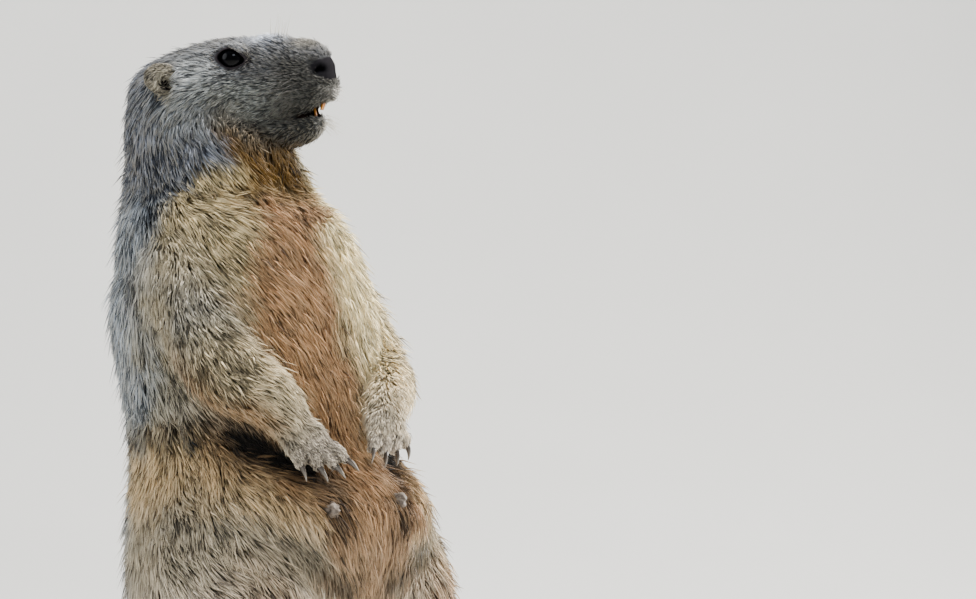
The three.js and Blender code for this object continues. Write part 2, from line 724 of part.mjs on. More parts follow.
// The claws of a forepaw, fanned out and bent down over the belly
function handClaws(name, grow = 0) {
  const paw = hand(name);
  const { way, bend } = HAND_CLAWS[name];
  return paw.fingers.map(({ tip, out }) => {
    const ahead = vector(way).addScaledVector(paw.spread, CLAW_FAN * out).normalize();
    const down = paw.back.clone().multiplyScalar(-0.35).sub(UP);
    down.addScaledVector(ahead, -down.dot(ahead)).normalize();
    const inside = tip.clone().addScaledVector(ahead, -CLAW_ROOT.inside);
    const root = inside.addScaledVector(paw.back, CLAW_ROOT.overFinger);
    return claw(root, ahead, down, CLAW_LENGTH + grow, CLAW_RADIUS + grow, bend);
  });
}

const limbsRoom = Object.entries(SIDES).flatMap(([name, side]) => [
  armForm(name, GAP + 1),
  foreForm(name, GAP),
  hand(name, GAP).solid,
  ...handClaws(name, GAP),
  thighForm(side, GAP + 1),
  shankForm(side, GAP),
  teat(TEATS[name], GAP),
]);
const room = Manifold.union([...limbsRoom, tailForm(GAP + 1)]);
const torsoLocks = clearOf(trunkLocks(COAT.bottom, COAT.top), room);
nodes.torso = largest(trunkCore.trimByPlane([0, 0, -1], -NECK_CUT).add(onFloor(torsoLocks)));
const coveredLocks = trunkLocks(COAT.top, COAT.top, 4 * GAP);
const under = [...coveredLocks, grownCore.trimByPlane([0, 0, -1], -NECK_CUT), room, grownHead, grownJaw];
const neckLocks = cutBy(Manifold.union(trunkLocks(COAT.neck, COAT.neck)), ...under);
const neckCore = trunkCore.trimByPlane([0, 0, 1], NECK_CUT + GAP).subtract(grownHead).subtract(grownJaw);
nodes.neck = largest(neckCore.add(neckLocks));

let skull = headForm();
for (const side of Object.values(SIDES)) skull = lidded(skull, side);
const cleft = headBall(onHead(...CLEFT.place), CLEFT.radii, [8, 8]);
const clearTeeth = [incisors(UPPER_TEETH, GAP), incisors(LOWER_TEETH, GAP)];
nodes.head = largest(cutBy(skull, cleft, noseForm(GAP), ...clearTeeth));
nodes.nose_pad = nosePad();
nodes.lower_jaw = largest(cutBy(jawForm(), grownHead, clearTeeth[1]));
nodes.upper_incisors = incisors(UPPER_TEETH);
nodes.lower_incisors = incisors(LOWER_TEETH);

for (const [name, side] of Object.entries(SIDES)) {
  nodes[`eye_${name}`] = eyeForm(side);
  nodes[`ear_${name}`] = largest(cutBy(earForm(side), grownHead, grownCore));

  const armLocks = limbLocks(UPPER_ARM[name], ARM_COAT[name]);
  const elbowRoom = foreForm(name, GAP);
  const furredArm = armForm(name, COAT.core).add(clearOf(armLocks, elbowRoom));
  nodes[`upper_arm_${name}`] = largest(cutBy(furredArm, grownCore));
  nodes[`forearm_${name}`] = largest(cutBy(foreForm(name, 0), grownCore, armForm(name, COAT.core + GAP)));
  nodes[`hand_${name}`] = largest(cutBy(hand(name).solid, grownCore, elbowRoom));
  const grownPaw = hand(name, GAP).solid;
  handClaws(name).forEach((horn, i) => {
    nodes[`claw_hand_${name}_${i + 1}`] = largest(cutBy(horn, grownPaw, grownCore));
  });

  const thighLocks = limbLocks(mirrored(THIGH, side), THIGH_COAT[name]);
  const kneeRoom = shankForm(side, GAP);
  const sole = foot(side);
  const furredThigh = thighForm(side, COAT.core).add(clearOf(thighLocks, kneeRoom));
  nodes[`thigh_${name}`] = largest(cutBy(furredThigh, grownCore));
  nodes[`shank_${name}`] = largest(cutBy(shankForm(side, 0), grownCore, thighForm(side, COAT.core + GAP)));
  nodes[`foot_${name}`] = largest(cutBy(sole.solid, kneeRoom, grownCore));
  const grownSole = foot(side, GAP).solid;
  sole.toes.forEach(({ tip, knuckle }, i) => {
    const ahead = tip.clone().sub(knuckle).setZ(0).normalize();
    const root = tip.clone().addScaledVector(ahead, -CLAW_ROOT.inside).setZ(CLAW_ROOT.toeLevel);
    const horn = claw(root, ahead, UP.clone().negate(), TOE_CLAW_LENGTH, CLAW_RADIUS);
    nodes[`claw_foot_${name}_${i + 1}`] = largest(cutBy(onFloor(horn), grownSole));
  });
  nodes[`teat_${name}`] = largest(cutBy(teat(TEATS[name]), grownCore));
}

// The tail in two nodes, parted where it comes down to the floor
const partStation = stationAt(TAIL, TAIL_PART);
const partPoint = vector(partStation);
const partWay = vector(stationAt(TAIL, TAIL_PART + 0.02)).sub(partPoint).normalize();
const beyond = (solid, way, gap) => solid.trimByPlane(way.toArray(), partPoint.dot(way) + gap);
const tailLocks = Manifold.union(limbLocks(TAIL, TAIL_COAT));
const tailCore = tailForm(COAT.core / 2).translate(0, 0, COAT.core / 2);
const wholeTail = cutBy(tailCore.add(tailLocks), grownCore);
nodes.tail_root = onFloor(largest(beyond(wholeTail, partWay.clone().negate(), 0)));
nodes.tail = largest(onFloor(beyond(wholeTail, partWay, GAP)));

const SLOTS = [
  [/^torso/, "back"],
  [/^(neck|head|lower_jaw|ear)/, "head"],
  [/^(upper_arm|forearm|thigh|shank)/, "limb"],
  [/^(hand|foot)/, "paw"],
  [/^tail/, "tail"],
  [/^claw/, "horn"],
  [/incisors/, "tooth"],
  [/^eye/, "eye"],
  [/^nose/, "nose"],
  [/^teat/, "teat"],
];

function meshOf(name, solid) {
  const { numProp, numVert, vertProperties, triVerts } = solid.getMesh();
  const positions = new Float32Array(numVert * 3);
  for (let i = 0; i < numVert; i++) {
    const start = i * numProp;
    positions.set(vertProperties.subarray(start, start + 3), i * 3);
  }
  const geometry = new THREE.BufferGeometry();
  geometry.setAttribute("position", new THREE.BufferAttribute(positions, 3));
  geometry.setIndex(new THREE.BufferAttribute(new Uint32Array(triVerts), 1));
  geometry.computeVertexNormals();
  const slot = SLOTS.find(([pattern]) => pattern.test(name))[1];
  const glossy = slot === "eye" || slot === "nose";
  const material = new THREE.MeshStandardMaterial({
    color: COLOURS[slot],
    roughness: glossy ? 0.2 : 0.85,
    metalness: 0,
  });
  const mesh = new THREE.Mesh(geometry, material);
  mesh.name = name;
  return mesh;
}

const marmot = new THREE.Group();
marmot.name = "alpine_marmot";
for (const [name, solid] of Object.entries(nodes)) marmot.add(meshOf(name, solid));

// The origin goes under the middle of the whole
const box = new THREE.Box3().setFromObject(marmot);
const middle = box.getCenter(new THREE.Vector3());
marmot.position.set(-middle.x, -middle.y, -box.min.z);

export default marmot;
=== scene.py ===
"""An alpine marmot sitting upright: one skin, its coat in solid tufts, eyes, teeth, claws, teats, whiskers.

Working lengths are millimetres in the modelling frame of the solids (+X the way the belly faces, +Y the
animal's left, +Z up), and OFFSET carries them to the row frame. Meshes are made in metres.
"""

import itertools
import math
from types import SimpleNamespace

import bmesh
import bpy
import numpy as np
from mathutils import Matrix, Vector
from mathutils.bvhtree import BVHTree
from mathutils.kdtree import KDTree


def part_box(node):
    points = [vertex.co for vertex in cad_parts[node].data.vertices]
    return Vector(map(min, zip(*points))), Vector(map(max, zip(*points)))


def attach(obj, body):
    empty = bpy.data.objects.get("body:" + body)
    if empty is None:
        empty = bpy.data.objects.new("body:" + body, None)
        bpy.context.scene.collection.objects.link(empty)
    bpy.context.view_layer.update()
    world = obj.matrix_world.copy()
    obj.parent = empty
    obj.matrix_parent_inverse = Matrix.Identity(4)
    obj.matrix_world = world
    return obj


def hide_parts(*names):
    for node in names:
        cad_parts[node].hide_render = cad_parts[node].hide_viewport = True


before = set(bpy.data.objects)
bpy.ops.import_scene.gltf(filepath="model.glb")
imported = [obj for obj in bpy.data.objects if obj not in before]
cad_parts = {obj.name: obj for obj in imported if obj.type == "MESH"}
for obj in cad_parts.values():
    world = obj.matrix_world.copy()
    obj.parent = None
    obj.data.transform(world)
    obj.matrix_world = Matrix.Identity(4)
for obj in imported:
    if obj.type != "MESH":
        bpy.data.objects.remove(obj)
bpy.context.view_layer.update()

METRES = 0.001
SEED = 20
SIDES = {"left": 1, "right": -1}
UP = np.array([0.0, 0.0, 1.0])

# Driving sizes, the same as those of the solids
HEAD_YAW = math.radians(35)
EYE_STATION = np.array([-20.5, 3.0, 392.5])
EYE_RADIUS = 6.7
EYE_OUT = 22.2
NOSE = (46, -4.6)  # along the head's axis and up from the eyes' level
NOSE_RADII = np.array([8, 14, 7.6]) - 0.3  # just inside the solid
NOSTRIL = (48.2, 12.2, -5.2)
EAR_RADIUS = 10.5
EAR_MIDDLE = (-37, 35.5, -11)
EAR_TILT, EAR_TURN = math.radians(24), math.radians(-26)
UPPER_TEETH = {"along": 48, "root": -18, "tip": -28.4, "half": 3.3}
LOWER_TEETH = {"along": 44, "root": -41, "tip": -26.4, "half": 2.7}
TRUNK_ROUNDNESS, HEAD_ROUNDNESS = 2.1, 2.2  # 2 is an ellipse, more is squarer
TRUNK_RADIUS = 80  # millimetres to a radian round the trunk
FLOOR_GAP = 0.3  # between the skin and the floor

# The trunk and neck: z, the middle's x and y, half depth, half width
TRUNK = [
    [24, -26, 0, 6, 6], [30, -22, 0, 34, 30], [44, -12, 0, 56, 50], [62, -2, 0, 71, 64],
    [82, 5, 0, 80, 73], [102, 10, 0, 85, 78], [120, 14, 0, 88, 81], [136, 16, 0, 89, 81],
    [148, 13, 0, 86.5, 78.5], [158, 8.5, 0, 82.5, 75.5], [170, 4, 0, 78.5, 73], [190, 0, 0, 78, 72.5],
    [212, -5.5, 0, 78, 72], [235, -12, 0, 78, 73], [255, -15.5, 0, 76, 72], [270, -17.5, 0, 72, 68],
    [285, -21, 0, 68.5, 66], [300, -25, -2, 62.5, 61.5], [314, -32, -3, 55, 54], [325, -33, -5, 52, 51],
    [336, -33, -7, 49, 49], [347, -35, -9, 45, 46], [358, -40, -11.5, 39, 41], [370, -41.5, -13, 34, 36],
    [382, -43.5, -14, 26, 28], [391, -44, -14.5, 13, 14], [394, -44, -14.5, 5, 5],
]
# The head: place along its axis from the eyes, then top, bottom and widest level from the eyes', half width
HEAD = [
    [-62, -16, -28, -22, 7], [-57, -8, -38, -22, 20], [-47, -0.5, -48, -22, 31], [-36, 4, -50, -21, 37],
    [-24, 8.8, -50, -20, 39], [-12, 12.2, -49, -19, 36.5], [-2, 13.2, -47, -18, 32], [7, 13.4, -45, -16, 28],
    [16, 15, -42, -15, 24.5], [23, 14.8, -37, -15, 22], [30, 12.6, -34, -14.5, 19.5],
    [38, 11.8, -31, -14, 17.4], [45, 9.2, -26.5, -13, 15.4], [50, 4.6, -23.6, -12, 12.2],
    [53.4, -5, -23.4, -13.5, 8.2], [55.6, -13, -21.5, -17, 3.8],
]
# The lower jaw: place along the head's axis, height from the eyes' level, half width, half height
JAW = np.array([
    [6, -43, 20, 8.5], [22, -41.8, 17.5, 8.5], [34, -40.4, 14, 8],
    [42, -37.9, 10.5, 6.9], [47.5, -34.9, 6, 4.6],
])
# Limbs, joint by joint: x, y, z, then the radii across and fore and aft; the legs are the left ones
UPPER_ARM = {
    "left": [
        [-16, 46, 272, 26, 30], [4, 52, 248, 23, 27],
        [26, 53, 229, 20, 23], [43, 50, 213, 18.5, 19.5],
    ],
    "right": [
        [-12, -46, 272, 26, 30], [8, -54, 250, 24, 28],
        [28, -60, 230, 22, 25], [46, -58, 213, 20.5, 23],
    ],
}
FOREARM = {
    "left": [
        [44, 50, 212, 18, 19], [61, 38, 206, 16.5, 17],
        [77, 24, 199, 14, 14.5], [87, 14, 189, 12.5, 10.5],
    ],
    "right": [
        [48, -57, 212, 19, 20], [61, -50.5, 205, 17.5, 18],
        [69.5, -45, 195, 15, 15], [76, -38.5, 183, 12.5, 11],
    ],
}
# Each forepaw: the wrist, the knuckles' and the tips' middle, and the way across it
HAND = {
    "left": ([87, 14, 189], [89.5, 14.5, 180], [91, 15, 173], [-0.12, 0.99, 0.05]),
    "right": ([76, -38.5, 183], [83, -35.2, 176], [87.8, -28, 164.8], [0.33, 0.93, 0.1]),
}
PALM_RADII = ((11.5, 9), (13, 8.4), (13.2, 6.8))
FINGER_SIZES, FINGER_RADII = (0.82, 1, 0.96, 0.78), ((3.6, 4), (4.1, 4.3), (3.6, 3.5))
TOE_SIZES, TOE_RADII = (0.72, 0.94, 1, 0.95, 0.74), ((3.8, 5), (4.1, 4.8), (3.7, 4.2))
FINGER_STEPS, TOE_STEPS = (7.0, 9.2), (5.4, 7.2)  # between neighbours, at the root and at the tip
CLAW_LENGTH = 10.5
TOE_CLAW_LENGTH = 10
CLAW_RADIUS = 1.8
CLAW_BEND = 1.0  # radians from a claw's root to its tip
# The way that the claws of each forepaw leave, how far they bend, and how far neighbours part
HAND_CLAWS = {"left": ([0.55, -0.15, -0.8], CLAW_BEND), "right": ([0.5, 0.56, -0.65], 0.5)}
CLAW_FAN = 0.25
THIGH = [[0, 34, 136, 30, 38], [20, 47, 120, 40, 44], [46, 53, 102, 36, 38], [65, 53, 86, 27, 28]]
SHANK = [[65, 53, 84, 26, 27], [52, 54, 60, 24, 26], [36, 53, 38, 20, 22], [24, 52, 24, 15, 16]]
FOOT = [[8, 50, 12, 11, 12], [24, 51, 13, 13, 14], [48, 53, 9, 14, 10], [70, 55, 7, 15, 8]]
TAIL = [
    [-52, 0, 60, 18, 18], [-72, 1, 38, 19, 18.5], [-92, 4, 22, 20, 18], [-116, 9, 17, 21.5, 17.5],
    [-144, 17, 16, 20, 16.5], [-170, 28, 13, 15, 13.5], [-188, 38, 9, 6, 7],
]
TEATS = {"left": (17, 146), "right": (-31, 141)}  # y and z

# Folds of the trunk's skin on its right side, and the same on its left: the angle round from the belly and
# the height at each end, then width, depth and the darkness of the painted shade laid in the fold
FOLDS = {
    "under_arm": [(-58, 188), (-27, 168), 14, 9.5, 1],
    "waist": [(-128, 188), (-84, 187), 4.5, 2.5, 0.5],
    "notch": [(-82, 193), (-80, 181), 3.6, 2, 0.9],
    "knee": [(-44, 130), (-12, 108), 7, 2, 0.55],
    "throat": [(-3, 346), (-3, 316), 5, 3, 0.15],
}

# How far the skin lies under the furred surface, part by part
DEPTH = {
    "trunk": 5, "head": 2, "jaw": 1.2, "upper_arm": 5, "forearm": 3.2, "hand": 1, "finger": 1,
    "thigh": 5, "shank": 3.5, "foot": 1.2, "toe": 0.6, "tail": 5,
}
VOXEL = 1.5  # of the skin's remesh
KEPT = 0.34  # of the skin's faces
BLUR = 5.0  # over which one part's coat passes into the next one's

# Colours as seen on screen, 0 to 255. Some carry painted light or shade, noted where each is laid: the brow's
# tone is painted top light, the nose bridge's partly so, the cream partly painted rim light; the muzzle,
# throat, rust, hollow, black and mouth tones carry painted shade in places
TONES = {
    "crown": (108, 110, 114), "brow_top_light": (214, 221, 234), "face": (134, 138, 134), "temple": (198, 202, 202),
    "muzzle": (64, 63, 59), "nose_bridge_and_top_light": (136, 131, 119), "nape": (106, 112, 124),
    "flank": (158, 154, 140), "shoulder": (198, 178, 134), "back": (160, 169, 178), "belly": (170, 130, 90),
    "throat": (92, 64, 2), "cream_and_rim_light": (252, 236, 186), "hip": (212, 183, 136), "thigh": (166, 154, 132),
    "low": (148, 121, 93), "arm": (206, 188, 150), "paw": (178, 166, 146), "rust": (122, 78, 28),
    "hollow": (9, 5, 3), "tail": (92, 76, 56), "ear": (138, 129, 108), "lip": (138, 136, 130),
    "bare": (25, 24, 26), "black": (3, 3, 4), "lid": (44, 40, 42), "sleeve": (160, 156, 146),
    "finger": (166, 156, 143), "haunch": (222, 208, 188), "mouth": (20, 12, 10),
}


def linear(tone):
    """An on-screen colour as linear light."""
    v = np.asarray(tone, float) / 255
    return np.where(v <= 0.04045, v / 12.92, ((v + 0.055) / 1.055) ** 2.4)


TONE = {name: linear(tone) for name, tone in TONES.items()}

head_forward = np.array([math.cos(HEAD_YAW), math.sin(HEAD_YAW), 0.0])
head_left = np.array([-math.sin(HEAD_YAW), math.cos(HEAD_YAW), 0.0])


def on_head(along, out, up):
    """Points of the head: along its axis from the eyes, out to its left, up from the eyes' level."""
    along, out, up = (np.asarray(v, float)[..., None] for v in (along, out, up))
    return EYE_STATION + head_forward * along + head_left * out + UP * up


def to_head(points):
    """The head's own coordinates of points: along, out to the left, up."""
    away = points - EYE_STATION
    return away @ head_forward, away @ head_left, away[:, 2]


def eye_centre(side):
    return on_head(0, side * EYE_OUT, 0)


low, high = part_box("eye_right")
OFFSET = np.array((low + high) / 2) / METRES - eye_centre(-1)


def unit(v):
    return v / np.maximum(np.linalg.norm(v, axis=-1, keepdims=True), 1e-9)


def fade(value, start, end):
    """0 at start, 1 at end, smooth between; start may be the higher."""
    t = np.clip((value - start) / (end - start), 0, 1)
    return t * t * (3 - 2 * t)


def hill(*shares):
    """1 where all shares are 0, falling smoothly to 0 over about 1.5 of any."""
    return np.exp(-sum(share**2 for share in shares))


def stations(rows, count):
    """Rows of a table of stations, evenly spread on a Catmull-Rom spline."""
    rows = np.array(rows, float)
    place = np.linspace(0, 1, count) * (len(rows) - 1)
    row = np.minimum(place.astype(int), len(rows) - 2)
    t = (place - row)[:, None]
    a, b = rows[row], rows[row + 1]
    slope_a = (b - rows[np.maximum(row - 1, 0)]) / 2
    slope_b = (rows[np.minimum(row + 2, len(rows) - 1)] - a) / 2
    bend = (3 * (b - a) - 2 * slope_a - slope_b) * t**2
    return a + slope_a * t + bend + (2 * (a - b) + slope_a + slope_b) * t**3


def noise(points, size, seed):
    """Smooth noise from 0 to 1, with lumps about size across."""
    q = points / size + seed * 17.31
    cell = np.floor(q)
    f = q - cell
    f = f * f * (3 - 2 * f)
    total = np.zeros(len(points))
    for corner in itertools.product((0, 1), repeat=3):
        wave = np.sin((cell + corner) @ [127.1, 311.7, 74.7] + seed * 53.3) * 43758.5453
        total += (wave - np.floor(wave)) * np.prod(np.where(corner, f, 1 - f), axis=1)
    return total


# Meshes


def mesh_object(name, points, faces):
    """An object in the row frame from points in modelling millimetres."""
    mesh = bpy.data.meshes.new(name)
    place = (np.asarray(points, float) + OFFSET) * METRES
    mesh.from_pydata(place.tolist(), [], [list(map(int, f)) for f in faces])
    mesh.validate()
    mesh.update()
    mesh.shade_smooth()
    return linked(bpy.data.objects.new(name, mesh))


def linked(obj):
    bpy.context.scene.collection.objects.link(obj)
    return obj


def ring_faces(count, sides):
    """Faces of a tube of rings with a fan at each end; the two end points come after the rings."""
    faces = []
    for r in range(count - 1):
        for i in range(sides):
            n = (i + 1) % sides
            faces.append((r * sides + i, r * sides + n, (r + 1) * sides + n, (r + 1) * sides + i))
    first, last = count * sides, count * sides + 1
    for i in range(sides):
        n = (i + 1) % sides
        faces.append((first, n, i))
        faces.append((last, (count - 1) * sides + i, (count - 1) * sides + n))
    return faces


def loft(centres, first, second, up, side, sides, roundness=2.0, down=None):
    """Points and faces of a closed skin over rings; up, down and side are their half sizes."""
    angle = np.linspace(0, 2 * np.pi, sides, endpoint=False)
    a, b = (np.sign(v) * np.abs(v) ** (2 / roundness) for v in (np.cos(angle), np.sin(angle)))
    count = len(centres)
    first, second = (np.broadcast_to(v, (count, 3))[:, None] for v in (first, second))
    down = up if down is None else down
    reach = np.where(a > 0, up[:, None], down[:, None]) * a
    points = centres[:, None] + reach[..., None] * first + (side[:, None] * b)[..., None] * second
    return np.concatenate([points.reshape(-1, 3), centres[:1], centres[-1:]]), ring_faces(count, sides)


def limb(rows, depth, steps=24, sides=28, level=UP, caps=6):
    """Points and faces of a limb with round ends, that deep under its table's surface."""
    s = stations(rows, steps)
    centre, wide, deep = s[:, :3], s[:, 3] - depth, s[:, 4] - depth
    tangent = unit(np.gradient(centre, axis=0))
    turn = np.linspace(np.pi / 2 * 0.98, 0.12, caps)
    share = np.concatenate([np.cos(turn), np.ones(steps), np.cos(turn[::-1])])
    out = np.concatenate([-np.sin(turn), np.zeros(steps), np.sin(turn[::-1])])
    pick = np.concatenate([np.zeros(caps, int), np.arange(steps), np.full(caps, steps - 1)])
    centres = centre[pick] + tangent[pick] * (out * np.minimum(wide, deep)[pick])[:, None]
    across = unit(np.cross(level, tangent[pick]))
    fore = unit(np.cross(tangent[pick], across))
    return loft(centres, fore, across, deep[pick] * share, wide[pick] * share, sides)


def ball(centre, radii, axes, rings=16, sides=24):
    """Points and faces of an ellipsoid."""
    angle = np.linspace(0.02, np.pi - 0.02, rings)
    centres = centre + np.cos(angle)[:, None] * radii[2] * axes[2]
    r = np.sin(angle)
    return loft(centres, axes[0], axes[1], r * radii[0], r * radii[1], sides)


def joined(forms):
    points, faces, start = [], [], 0
    for p, f in forms:
        points.append(p)
        faces.extend(tuple(start + i for i in face) for face in f)
        start += len(p)
    return np.concatenate(points), faces


def mirrored(rows, side):
    return [[r[0], side * r[1], *r[2:]] for r in rows]


def rows_of(joints, radii):
    """A limb's table from its joints and the radii at each."""
    return [[*joint, *pair] for joint, pair in zip(joints, radii)]


# Ears, forepaws and toes


def ear(side):
    """The ear's place: a matrix whose columns are its forward, out and up axes, and its middle."""
    basis = np.stack([head_forward, head_left * side, UP], axis=1)
    c, s = math.cos(EAR_TILT), math.sin(EAR_TILT)
    about_forward = np.array([[1, 0, 0], [0, c, -s], [0, s, c]])
    c, s = math.cos(EAR_TURN), math.sin(EAR_TURN)
    about_up = np.array([[c, -s, 0], [s, c, 0], [0, 0, 1]])
    along, out, up = EAR_MIDDLE
    return basis @ about_forward @ about_up, on_head(along, side * out, up)


def forepaw(name):
    """A forepaw's joints and ways, and the root, knuckle and tip of each finger."""
    wrist, knuckles, tips, spread = (np.array(v, float) for v in HAND[name])
    along, spread = unit(tips - knuckles), unit(spread)
    back = unit(np.cross(along, spread))
    fingers = []
    for out, size in zip((-1.5, -0.5, 0.5, 1.5), FINGER_SIZES):
        root = knuckles + spread * out * FINGER_STEPS[0] - along * 2.5
        tip = tips + spread * out * FINGER_STEPS[1] + along * ((size - 1) * 11 - abs(out) * 0.8)
        fingers.append((root, root + (tip - root) * 0.55 + back * 2.4, tip))
    return SimpleNamespace(wrist=wrist, knuckles=knuckles, spread=spread, back=back, fingers=fingers)


def toes(side):
    """The hind foot's toes: root, knuckle and tip of each."""
    ahead = unit(np.array([1, side * 0.1, 0]))
    across = np.array([-ahead[1], ahead[0], 0])
    ball_of_foot = np.array([68, side * 55, 0.0])
    made = []
    for i, size in enumerate(TOE_SIZES):
        out = (i - 2) * side
        root = ball_of_foot + across * out * TOE_STEPS[0] + UP * 7
        tip = ball_of_foot + across * out * TOE_STEPS[1] + ahead * (8 + 13 * size) + UP * 4.6
        knuckle = (root + tip) / 2
        knuckle[2] = 8.2
        made.append((root, knuckle, tip))
    return made


EARS = {side: ear(side) for side in SIDES.values()}
PAWS = {name: forepaw(name) for name in SIDES}
TOES = {name: toes(side) for name, side in SIDES.items()}
TRUNK_FINE = stations(TRUNK, 200)
HEAD_FINE = stations(HEAD, 160)

# The skin: every part's form in one mesh, fused and smoothed


def skin_forms():
    t = stations(TRUNK, 110)
    lift = -(2 + (DEPTH["trunk"] - 2) * fade(t[:, 0], 362, 336))
    deep, wide = np.maximum(t[:, 3] + lift, 3), np.maximum(t[:, 4] + lift, 3)
    front, left = np.array([1.0, 0, 0]), np.array([0, 1.0, 0])
    forms = [loft(t[:, [1, 2, 0]], front, left, deep, wide, 72, TRUNK_ROUNDNESS)]
    along, top, bottom, widest, half = stations(HEAD, 70).T
    lift = -DEPTH["head"] * (1 - 0.55 * fade(along, 20, 50))
    rise, drop = top - widest + lift, widest - bottom + lift
    skull = on_head(along, 0 * along, widest)
    forms.append(loft(skull, UP, head_left, rise, half + lift, 48, HEAD_ROUNDNESS, drop))
    along, level, half, deep = stations(JAW, 20).T
    jaw, depth = on_head(along, 0 * along, level), DEPTH["jaw"]
    forms.append(loft(jaw, UP, head_left, deep - depth, half - depth, 32, HEAD_ROUNDNESS))
    # The inside of the mouth joins the two
    along = np.linspace(12, 44.5, 12)
    half = np.interp(along, JAW[:, 0], JAW[:, 2]) * 0.68 - 1
    inside = on_head(along, 0 * along, np.interp(along, [12, 44.5], [-33, -29.5]))
    forms.append(loft(inside, UP, head_left, np.full(len(along), 4.0), half, 24, 2.4))
    axes = (head_forward, head_left, UP)
    forms.append(ball(on_head(NOSE[0], 0, NOSE[1]), NOSE_RADII, axes, rings=24, sides=36))
    for name, side in SIDES.items():
        forms.append(ball(eye_centre(side), (EYE_RADIUS + 3, EYE_RADIUS + 0.9, EYE_RADIUS + 2), axes))
        turn, middle = EARS[side]
        forms.append(ball(middle, (EAR_RADIUS - 0.6, 4.0, EAR_RADIUS * 0.9 - 0.6), turn.T))
        forms.append(limb(UPPER_ARM[name], DEPTH["upper_arm"]))
        forms.append(limb(FOREARM[name], DEPTH["forearm"]))
        paw = PAWS[name]
        palm = paw.wrist + (paw.knuckles - paw.wrist) * 0.55 + paw.back * 1.2
        rows = rows_of((paw.wrist, palm, paw.knuckles), PALM_RADII)
        forms.append(limb(rows, DEPTH["hand"], level=paw.back))
        for joints in paw.fingers:
            forms.append(limb(rows_of(joints, FINGER_RADII), DEPTH["finger"], 12, 16, paw.back))
        for part, table in (("thigh", THIGH), ("shank", SHANK), ("foot", FOOT)):
            forms.append(limb(mirrored(table, side), DEPTH[part]))
        for joints in TOES[name]:
            forms.append(limb(rows_of(joints, TOE_RADII), DEPTH["toe"], 12, 16))
    tail = np.array(TAIL, float)
    tail[:, 2] -= 2.5
    forms.append(limb(tail, DEPTH["tail"], steps=40))
    return forms


def apply_modifier(obj, kind, **settings):
    bpy.context.view_layer.objects.active = obj
    obj.select_set(True)
    modifier = obj.modifiers.new(kind.lower(), kind)
    for key, value in settings.items():
        setattr(modifier, key, value)
    bpy.ops.object.modifier_apply(modifier=modifier.name)
    obj.select_set(False)


def read(items, key, width, kind=float):
    """A property of all items of a mesh, in rows."""
    values = np.empty(len(items) * width, kind)
    items.foreach_get(key, values)
    return values.reshape(-1, width)


def points_of(obj):
    """A mesh's points in modelling millimetres."""
    return read(obj.data.vertices, "co", 3) / METRES - OFFSET


def set_points(obj, points):
    obj.data.vertices.foreach_set("co", ((points + OFFSET) * METRES).ravel())
    obj.data.update()


def rough_group(obj, name):
    """A vertex group of all but the fine forms, in tenths."""
    group = obj.vertex_groups.new(name=name)
    levels = np.round((1 - fineness(points_of(obj))) * 10).astype(int)
    for level in range(1, 11):
        chosen = np.nonzero(levels == level)[0]
        if len(chosen):
            group.add(chosen.tolist(), level / 10, "REPLACE")
    return group.name


def fineness(points):
    """1 where the skin has fine forms: the face, the ears, the fingers and toes."""
    along, _, up = to_head(points)
    fine = fade(along, -30, -8) * fade(up, -58, -50)
    for name, side in SIDES.items():
        spots = ((EARS[side][1], 18, 13), (PAWS[name].knuckles, 24, 17), ([84, side * 55, 4], 30, 22))
        for spot, far, near in spots:
            fine = np.maximum(fine, fade(np.linalg.norm(points - spot, axis=1), far, near))
    return fine


skin = mesh_object("skin", *joined(skin_forms()))
apply_modifier(skin, "REMESH", mode="VOXEL", voxel_size=VOXEL * METRES, use_smooth_shade=True)
apply_modifier(skin, "SMOOTH", factor=0.5, iterations=14, vertex_group=rough_group(skin, "soft"))
apply_modifier(skin, "SMOOTH", factor=0.5, iterations=3)
group = rough_group(skin, "coarse")
apply_modifier(skin, "DECIMATE", ratio=KEPT, vertex_group=group, vertex_group_factor=1.0)
skin.vertex_groups.clear()


def subdivide(obj, chosen, cuts):
    """Cuts finer the faces for whose middles chosen says so."""
    work = bmesh.new()
    work.from_mesh(obj.data)
    work.faces.ensure_lookup_table()
    middles = np.array([f.calc_center_median() for f in work.faces]) / METRES - OFFSET
    picked = [work.faces[i] for i in np.nonzero(chosen(middles))[0]]
    edges = list({e for f in picked for e in f.edges})
    bmesh.ops.subdivide_edges(work, edges=edges, cuts=cuts, use_grid_fill=True, smooth=0.4)
    bmesh.ops.triangulate(work, faces=[f for f in work.faces if len(f.verts) > 4])
    work.to_mesh(obj.data)
    work.free()
    obj.data.shade_smooth()


FAR = 9.0  # stands for a place on the other side of the head


def eye_reach(points, side):
    """Distance from the eye's middle as a share of the opening between the lids, almond shaped."""
    along, out, up = to_head(points)
    drop = 0.10 * along  # the front corner is the lower
    tall = np.where(up + drop > 0, 5.2, 4.6) * (1 - 0.25 * np.clip(np.abs(along) / 6.6, 0, 1) ** 2)
    reach = np.sqrt((along / np.where(along > 0, 7.6, 7.0)) ** 2 + ((up + drop) / tall) ** 2)
    return np.where(out * side > EYE_OUT - 2, reach, FAR)


def nearest_eye(points):
    return np.minimum(eye_reach(points, 1), eye_reach(points, -1))


def by_nostril(along, out, up, side):
    """Places from a nostril's middle: along, out, and up from its curled line."""
    a, o, u = along - NOSTRIL[0], out * side - NOSTRIL[1], up - NOSTRIL[2]
    return a, o, u + 0.12 * a**2 - 0.25 * a


def lip_levels(along):
    """The levels of the upper and the lower lip's edges."""
    lip = np.interp(along, HEAD_FINE[:, 0], HEAD_FINE[:, 2]) + 1.6
    return lip, np.interp(along, JAW[:, 0], JAW[:, 1] + JAW[:, 3]) - 1.9


